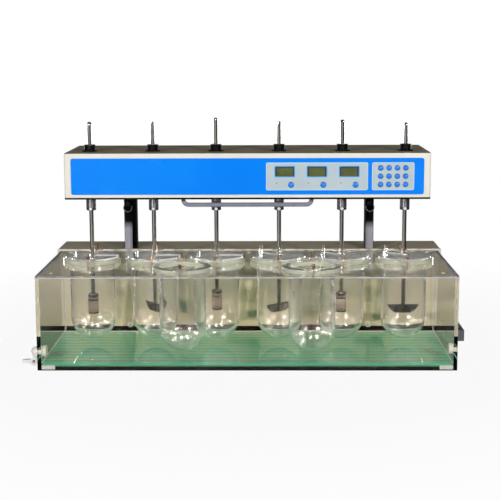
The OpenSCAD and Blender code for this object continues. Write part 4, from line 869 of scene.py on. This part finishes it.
build("mat_edge", [bar(mat_profile, -LIP_END, LIP_END)], cut_foam, "base")
foot_profile = edge_profile(inside_y + FOOT_Y, EDGE_GAP, floor_low - UNDER_GAP, FOOT_T)
foot_ends = (LIP_END + FOOT_GAP, inside_x - FOOT_GAP)
feet = [bar(foot_profile, *sorted(side * end for end in foot_ends)) for side in SIDES]
build("corner_feet", feet, sawn_edge, "base")
print("floor: skin of", len(skin.data.polygons), "faces, lip", 2 * LIP_END, "mm long")

# %% [markdown]
# Where sheets are glued together, the joint dries to a fine white line: along both sides of the floor, up
# the two rear corners, and across the floor near its back. The tops of the walls show through the plate as
# pale bands. The saw left ridges there, and the side of each ridge that looks to the front catches the
# lamps, so they are ribbed sheets.

# %% Glued joints and wall tops
JOINT_IN, JOINT_T, JOINT_UP, JOINT_GAP = 0.6, 1.2, 1.2, 0.05
BEAD_R, BEAD_IN, BEAD_FOOT, BEAD_TOP = 0.7, 0.8, 0.3, 1.0
STRIP_AT, STRIP_T, STRIP_UP = 114.2, 1.0, 2.8
RIDGE_Z, RIDGE_SWING, RIDGE_PITCH, RIDGE_IN = (0.2, 1.0), 0.55, 2.4, 0.3
joint_x, joint_low = inside_x - JOINT_IN, floor_top + JOINT_GAP
joints = [bar(edge_profile(side * joint_x, joint_low, floor_top + JOINT_UP, JOINT_T),
              -bath_high[1] + WALL + GAP, -inside_y - GAP, turn=-90) for side in SIDES]
bead_z = (floor_top + BEAD_FOOT, plate_low[2] - BEAD_TOP)
bead = [(0, bead_z[0]), (BEAD_R, bead_z[0]), (BEAD_R, bead_z[1]), (0, bead_z[1])]
joints += [revolve(bead, (side * joint_x, bath_high[1] - WALL - BEAD_IN, 0), steps=12) for side in SIDES]
joints.append(bar(edge_profile(STRIP_AT, joint_low, floor_top + STRIP_UP, STRIP_T), -joint_x, joint_x))
build("glued_joints", joints, sawn_edge, "base")

ridges = (*(plate_low[2] + z for z in RIDGE_Z), RIDGE_SWING, RIDGE_PITCH)
side_band = (bath_high[0] - RIDGE_IN, inside_x + RIDGE_IN)
side_y, front_y = (inside_y, bath_high[1] - GAP), (bath_low[1] + GAP, inside_y - GAP)
rims = [ribbed_sheet(sorted(side * x for x in side_band), side_y, *ridges) for side in SIDES]
rims.append(ribbed_sheet((bath_low[0] + GAP, bath_high[0] - GAP), front_y, *ridges))
build("wall_rim_cuts", rims, saw_marks, "base")
print("glue lines:", len(joints), "and sawn wall tops:", len(rims))

# %% [markdown]
# ## Woven baskets
# A basket is a cup of stainless wire cloth between two plain rims. The wires go over and under each other,
# so each one is a path whose radius swings in and out by a cosine, and a small circle is carried along it.
# Real cloth has about 16 wires to the centimetre, and it is drawn with 7, because finer wires would blur to
# a grey film.


# %% Wire helper
UPRIGHT_FROM = 0.7


def wires(paths, radius, closed=False, sides=5):
    """A circle of a radius in mm carried along each path; open wires are closed at their ends by a point."""
    paths = np.asarray(paths, float)
    along = np.roll(paths, -1, 1) - np.roll(paths, 1, 1) if closed else np.gradient(paths, axis=1)
    along /= np.linalg.norm(along, axis=2, keepdims=True)
    upright = np.abs(along[:, :1, 2:]).mean(axis=1, keepdims=True) > UPRIGHT_FROM
    first = np.cross(along, np.where(upright, [1.0, 0.0, 0.0], [0.0, 0.0, 1.0]))
    first /= np.linalg.norm(first, axis=2, keepdims=True)
    second = np.cross(first, along)
    size = np.full(paths.shape[1], radius)
    if not closed:
        ends = ((0, 0), (1, 1), (0, 0))
        paths, first, second = (np.pad(rows, ends, mode="edge") for rows in (paths, first, second))
        size = np.pad(size, 1)
    angle = np.linspace(0, 2 * np.pi, sides, endpoint=False)[:, None]
    spoke = first[:, :, None] * np.cos(angle) + second[:, :, None] * np.sin(angle)
    points = paths[:, :, None] + spoke * size[None, :, None, None]
    count, rows = points.shape[:2]
    starts = (np.arange(count) * rows * sides)[:, None, None]
    faces = grid_faces(rows, sides, round_rows=closed)[None] + starts
    return points.reshape(-1, 3) * MM, faces.reshape(-1, 4)


print("wire helper ready")

# %% [markdown]
# The cloth of a basket is four sets of wires: uprights, hoops, and two sets that cross in the floor.


# %% Cloth helper
UPRIGHTS, HOOPS, WIRE_R, SWING, SCREEN_R, RIM_H, WIRE_END = 52, 19, 0.24, 0.24, 11.4, 3.5, 1.0
FLOOR_WIRES, FLOOR_WIRE_R, FLOOR_HALF, FLOOR_R = 16, 0.22, 10.2, 11.2
FLOOR_UP, FLOOR_SWING, FLOOR_PITCH, FLOOR_STEPS = 0.5, 0.2, 1.36, 40


def in_turn(count):
    """A column that holds 1 and -1 in turn."""
    return np.where(np.arange(count) % 2, -1.0, 1.0)[:, None]


def points_of(x, y, z):
    """Paths of points from three arrays that fill each other up to one size."""
    return np.stack(np.broadcast_arrays(x, y, z), axis=-1)


def wire_cloth(x, floor_z, top_z):
    """A cup of wires about a place along X in mm. The radius of an upright or a hoop is the screen's radius
    plus a cosine, opposite from one wire to the next. The floor's wires swing up and down in the same way."""
    hoop_z = np.linspace(floor_z + RIM_H, top_z - RIM_H, HOOPS)
    climb = np.linspace(floor_z + WIRE_END, top_z - WIRE_END, 4 * HOOPS)
    angle = np.linspace(0, 2 * np.pi, UPRIGHTS, endpoint=False)[:, None]
    wave = np.cos(np.pi * (climb - hoop_z[0]) / (hoop_z[1] - hoop_z[0]))
    out = SCREEN_R - SWING * in_turn(UPRIGHTS) * wave
    uprights = points_of(x + out * np.cos(angle), out * np.sin(angle), climb)
    angle = np.linspace(0, 2 * np.pi, 4 * UPRIGHTS, endpoint=False)
    out = SCREEN_R + SWING * in_turn(HOOPS) * np.cos(angle * UPRIGHTS / 2)
    hoops = points_of(x + out * np.cos(angle), out * np.sin(angle), hoop_z[:, None])
    aside = np.linspace(-FLOOR_HALF, FLOOR_HALF, FLOOR_WIRES)[:, None]
    span = np.sqrt(FLOOR_R**2 - aside**2) * np.linspace(-1, 1, FLOOR_STEPS)
    lift = FLOOR_SWING * in_turn(FLOOR_WIRES) * np.cos(np.pi * span / FLOOR_PITCH)
    warp = points_of(x + span, aside, floor_z + FLOOR_UP - lift)
    weft = points_of(x + aside, span, floor_z + FLOOR_UP + lift)
    return [wires(uprights, WIRE_R), wires(hoops, WIRE_R, closed=True),
            wires(warp, FLOOR_WIRE_R), wires(weft, FLOOR_WIRE_R)]


print("a basket has", UPRIGHTS, "uprights and", HOOPS, "hoops")

# %% [markdown]
# A plain steel cap with a shoulder closes a basket at the top, with a bright band under the shoulder. A rim
# holds the cloth at each end, and two welded seams run down the sides. Each profile gives radii, and
# heights above the rim's foot or the basket's top.

# %% Baskets
RIM = np.array([(10.9, 0.0), (11.9, 0.0), (12.0, 0.3), (12.0, 3.2), (11.9, 3.5), (10.9, 3.5)])
CAP = np.array([(7.2, 0.05), (11.2, 0.05), (11.2, 6.2), (12.6, 6.4), (12.6, 9.8), (12.0, 10.4), (7.2, 10.4)])
BAND = np.array([(11.3, 0.4), (12.2, 0.6), (12.2, 2.6), (11.3, 2.8)])
RIM_GAP, SEAM_OUT, SEAM_T, SEAM_HALF, SEAM_GAP = 0.05, 0.1, 1.3, 0.7, 0.4
for i in (1, 3, 5):
    low, high = box_mm(f"basket_{i}")
    x, floor_z, top_z = SHAFT_X[i - 1], low[2], high[2]
    cloth = wire_cloth(x, floor_z, top_z)
    basket = build(f"woven_basket_{i}", cloth, bright_wire, f"shaft_{i}", [f"basket_{i}"])
    rim_feet = (floor_z + RIM_GAP, top_z - RIM_H - RIM_GAP)
    turned = [RIM + (0, foot) for foot in rim_feet] + [CAP + (0, top_z)]
    steel = [revolve(profile, (x, 0, 0), closed=True) for profile in turned]
    for side in SIDES:
        seam = edge_profile(side * (SCREEN_R + SEAM_OUT), floor_z + SEAM_GAP, top_z - SEAM_GAP, SEAM_T)
        steel.append(bar(seam, -SEAM_HALF, SEAM_HALF, (x, 0.0), 90))
    build(f"basket_rims_{i}", steel, dark_steel, f"shaft_{i}")
    band = revolve(BAND + (0, top_z), (x, 0, 0), closed=True)
    build(f"basket_band_{i}", [band], bright_wire, f"shaft_{i}")
    print("basket", i, "has", len(basket.data.polygons), "faces")

# %% [markdown]
# ## Domed buttons
# The keys and mode buttons are moulded caps with a crowned face. A cap is a profile carried round the Y
# axis: the stem and the collar that keeps it in, the plain side, and a dome. The dome's radius is the cap's
# radius times the root of one less a power of the share of the height, so that it is steep at the edge and
# flat in the middle.

# %% Buttons
COLLAR_OUT, COLLAR_BACK, COLLAR_FRONT, DOME_H, DOME_POWER = 1.4, 1.8, 3.3, 2.0, 1.6
button_names = [f"mode_button_{i}" for i in range(1, 4)] + [f"key_{i}" for i in range(1, 13)]
rise = np.linspace(0, 1, 12)
for name in button_names:
    low, high = box_mm(name)
    x, z = (low[0] + high[0]) / 2, (low[2] + high[2]) / 2
    collar_r, front_y, back_y = (high[0] - low[0]) / 2, low[1], high[1]
    cap_r = collar_r - COLLAR_OUT
    dome = np.column_stack([cap_r * np.sqrt(1 - rise**DOME_POWER), front_y + DOME_H - DOME_H * rise])
    stem = [(0, back_y), (cap_r, back_y), (cap_r, back_y - COLLAR_BACK), (collar_r, back_y - COLLAR_BACK),
            (collar_r, back_y - COLLAR_FRONT), (cap_r, back_y - COLLAR_FRONT)]
    cap = revolve(np.concatenate([stem, dome]), (x, 0, z), axis="Y", steps=40)
    build("cap_" + name, [cap], blue_abs, name, [name])
print("buttons:", len(button_names), "domed caps")

# %% [markdown]
# ## Frames and lines on the front
# Each display sits behind a moulded frame, and each grey panel has a printed pale line round it. Both are a
# small profile carried round a rectangle with round corners: at each point of the outline, the profile is
# set out along the outline's normal and forward from the panel.


# %% Frame helper
def frame_round(centre, size, radius, profile, steps=6):
    """A closed profile of (outward, y) in mm carried round a rectangle with round corners in the XZ plane."""
    angle = np.radians(np.arange(0, 360, 90)[:, None] + np.linspace(0, 90, steps)[None, :])
    out = np.stack([np.cos(angle), np.sin(angle)], axis=-1)
    corner = np.array([(1, 1), (-1, 1), (-1, -1), (1, -1)])[:, None, :] * (np.array(size) / 2 - radius)
    outline = (np.array(centre) + corner + radius * out).reshape(-1, 2)
    outward, depth = np.asarray(profile, float).T[:, :, None]
    flat = outline[None] + outward[:, :, None] * out.reshape(-1, 2)[None]
    points = np.stack([flat[..., 0], np.broadcast_to(depth, flat.shape[:2]), flat[..., 1]], axis=-1)
    return points.reshape(-1, 3) * MM, grid_faces(len(profile), len(outline), round_rows=True)


print("frame helper ready")

# %% [markdown]
# The frames go round the three windows and the lines round the two panels. A small unlit lamp sits beside
# each mode button.

# %% Frames, lines and lamps
FRAME_R, GLASS_GAP, PANEL_R, PANEL_Z, PANEL_H = 0.6, 0.1, 4.0, 422.5, 64
PANELS = ((160.5, 234), (335, 97))
LAMP_X, LAMP_Z, LAMP_R, LAMP_SINK = (67.8, 141.5, 215.5), 407, 1.2, 0.3
panel_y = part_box("control_panels")[0].y / MM
glass_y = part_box("display_modules")[0].y / MM - GLASS_GAP
frame_profile = [(2.0, panel_y), (1.8, panel_y - 0.6), (0.4, panel_y - 0.7), (-0.5, panel_y + 0.3),
                 (-0.5, glass_y), (-0.1, glass_y), (-0.1, panel_y)]
frames = [frame_round((x, DISPLAY_Z), WINDOW, FRAME_R, frame_profile) for x in DISPLAY_X]
build("display_frames", frames, light_frame, "head")
line_profile = [(-0.3, panel_y), (-0.3, panel_y - 0.12), (-1.7, panel_y - 0.12), (-1.7, panel_y)]
lines = [frame_round((x, PANEL_Z), (wide, PANEL_H), PANEL_R, line_profile) for x, wide in PANELS]
build("panel_lines", lines, pale_print, "head")
lens_foot = [(0, panel_y + LAMP_SINK), (LAMP_R, panel_y + LAMP_SINK)]
lens_profile = np.concatenate([arc(0, panel_y, LAMP_R, 0, -90, 6), lens_foot])
lenses = [revolve(lens_profile, (x, 0, LAMP_Z), axis="Y", steps=16, closed=True) for x in LAMP_X]
build("indicator_lamps", lenses, dark_lens, "head")
print("front:", len(frames), "frames,", len(lines), "lines,", len(lenses), "lamps")

# %% [markdown]
# ## Screws and nuts
# A clamp screw is turned brass: a collar that presses on the clamp, a thin neck and a tall knurled head,
# which is a round profile whose radius also follows a cosine round the axis. The two front vessels' screws
# end in the plate, and the others go through it.

# %% Clamp screws
SCREW_REACH, HEAD_H, COLLAR_H, NECK_R, COLLAR_R, HEAD_R = 74.75, 8.5, 1.2, 1.95, 3.45, 3.8
THREAD_R, THREAD_DEEP, THREAD_PITCH, FLUTES, FLUTE_DEEP = 1.9, 0.08, 0.7, 18, 0.18
screw_low, screw_high = box_mm("clamp_screws")
clamp_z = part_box("vessel_clamps")[1].z / MM
top_z, collar_z, head_z = screw_high[2], clamp_z + COLLAR_H, screw_high[2] - HEAD_H
thread_z = np.linspace(screw_low[2] + 0.05, plate_low[2], 25)
thread = np.column_stack([THREAD_R + THREAD_DEEP * np.cos(2 * np.pi * thread_z / THREAD_PITCH), thread_z])
collar = [(NECK_R, clamp_z), (COLLAR_R - 0.15, clamp_z), (COLLAR_R, clamp_z + 0.2),
          (COLLAR_R, collar_z - 0.2), (COLLAR_R - 0.15, collar_z), (NECK_R, collar_z)]
head = [(NECK_R, head_z), (HEAD_R - 0.3, head_z), (HEAD_R, head_z + 0.4), (HEAD_R, top_z - 0.7),
        (HEAD_R - 0.5, top_z - 0.05), (0, top_z - 0.05)]
screws = []
for x, y in vessel_places:
    tail = thread if y == 0 else np.array([(NECK_R, plate_low[2] + 0.1)])
    profile = np.concatenate([[(0, tail[0, 1])], tail, collar, head])
    depth = np.where(profile[:, 0] == HEAD_R, FLUTE_DEEP, 0.0)
    screws += [revolve(profile, (x, y + side * SCREW_REACH, 0), steps=54, flutes=FLUTES, depth=depth)
               for side in SIDES]
build("clamp_thumb_screws", screws, turned_brass, "base", ["clamp_screws"])
print("clamp screws:", len(screws), "of", round(top_z - screw_low[2], 1), "mm")

# %% [markdown]
# A slotted screw head is a dome over a round grid, lowered by a step where the point lies in the slot. Such
# screws hold the plate, in white plastic, and the cabinet's back. The cabinet's top has a folded hem along
# its front.


# %% Slotted screws and the hem
HEAD_ROWS, HEAD_STEPS, HEAD_SINK, SLOT_SHARE, SLOT_DEEP = 14, 48, 0.5, 0.14, 0.35


def slotted_head(centre, axis, radius, height):
    """A dome, height times the root of one less the square of the share of the radius, less a step inside
    the slot."""
    share = np.sin(np.linspace(0, np.pi / 2, HEAD_ROWS))[:, None]
    angle = np.linspace(0, 2 * np.pi, HEAD_STEPS, endpoint=False)[None, :]
    across, along = radius * share * np.cos(angle), radius * share * np.sin(angle)
    dome = height * np.sqrt(np.clip(1 - share**2, 0, 1)) * np.ones_like(angle)
    dome = np.where(np.abs(along) < SLOT_SHARE * radius, dome - SLOT_DEEP * height, dome)
    foot = np.full((1, HEAD_STEPS), -HEAD_SINK)
    sides = [np.vstack([rows, rows[-1:], rows[:1]]) for rows in (across, along)]
    sides.append(np.vstack([dome, foot, foot]))
    return placed(sides, axis, centre), grid_faces(HEAD_ROWS + 2, HEAD_STEPS)


PLATE_HEAD, CABINET_HEAD = (4.2, 1.6), (3.6, 1.8)
PLATE_SCREWS = ((-440, -165), (-440, 118), (0, 118), (440, -165), (440, 118))
CABINET_X, CABINET_Z = (-455, -160, 160, 455), (40, 198)
HEM_Y, HEM_T, HEM_DOWN, HEM_UP, HEM_END = 1.6, 3.0, 3.5, 2.4, 0.5
plate_screws = [slotted_head((x, y, plate_high[2]), "Z", *PLATE_HEAD) for x, y in PLATE_SCREWS]
build("plate_screws", plate_screws, white_plastic, "base")
cabinet_low, cabinet_high = box_mm("rear_cabinet")
hem_z = (cabinet_high[2] - HEM_DOWN, cabinet_high[2] + HEM_UP)
hem_profile = edge_profile(cabinet_low[1] + HEM_Y, *hem_z, HEM_T)
hem = bar(hem_profile, cabinet_low[0] + HEM_END, cabinet_high[0] - HEM_END)
build("cabinet_hem", [hem], cream_coat, "base")
cabinet_places = [(x, cabinet_high[1], z) for x in CABINET_X for z in CABINET_Z]
cabinet_screws = [slotted_head(place, "Y", *CABINET_HEAD) for place in cabinet_places]
build("cabinet_screws", cabinet_screws, chrome_plate, "base")
print("screws:", len(plate_screws), "in the plate,", len(cabinet_screws), "in the cabinet")

# %% [markdown]
# ## On the spindles
# Each collar under the head has a sleeve with a cone at its foot and a white stud in front, and each chuck
# has a small hollow grub screw. Their profiles give the radius and the height, or the place along Y.

# %% Spindle screws
SLEEVE = ((7.9, 336.6), (9.6, 336.6), (11.4, 338.2), (11.4, 343.4), (7.9, 343.4))
STUD = ((0, -10.0), (3.6, -10.0), (3.6, -12.2), (3.0, -12.9), (1.5, -13.3), (0, -13.4))
GRUB = ((0, -12.2), (1.9, -12.2), (2.1, -12.6), (2.1, -13.4), (1.2, -13.4), (1.2, -12.5), (0, -12.5))
STUD_Z, GRUB_Z = 340.6, 485
for i, x in enumerate(SHAFT_X, start=1):
    body = f"spindle_{i}"
    sleeve = revolve(SLEEVE, (x, 0, 0), steps=64, closed=True)
    build(f"collar_sleeve_{i}", [sleeve], chrome_plate, body, crease=20)
    stud = revolve(STUD, (x, 0, STUD_Z), axis="Y", steps=24)
    build(f"collar_screw_{i}", [stud], white_plastic, body)
    grub = revolve(GRUB, (x, 0, GRUB_Z), axis="Y", steps=12)
    build(f"chuck_screw_{i}", [grub], black_plastic, body)
print("a sleeve and two screws on each of", len(SHAFT_X), "spindles")

# %% [markdown]
# ## Points of light in the glass
# In the photo every vessel's round bottom carries many white points, which are taken to be the bulbs of the
# room, mirrored in the hollow of the glass. Eleven bulbs were estimated from where the points lie in a
# bowl, but so many blurred together, so five lamps over the same range stand for them, each with a bearing
# and a height in degrees. They light only the glass, lids and clamps, so the rest keeps its two clear
# shadows.

# %% Sparks
SPARK_WATTS, SPARK_AWAY, SPARK_SIZE = 42.0, 2.6, 0.05
SPARKS = ((-72, 22), (62, 27), (-35, 53), (10, 57), (85, 53))
clear_set = bpy.data.collections.new("lit by sparks")
for piece in (vessels, nodes["vessel_lids"], nodes["vessel_clamps"]):
    clear_set.objects.link(piece)
for i, (bearing, rise) in enumerate(np.radians(SPARKS), start=1):
    way = Vector((math.sin(bearing) * math.cos(rise), -math.cos(bearing) * math.cos(rise), math.sin(rise)))
    stand = add_lamp(f"spark_{i}", AIM + SPARK_AWAY * way, SPARK_WATTS, SPARK_SIZE)
    stand.light_linking.receiver_collection = clear_set
    stand.light_linking.blocker_collection = clear_set
print("sparks:", len(SPARKS), "of", SPARK_WATTS, "W")
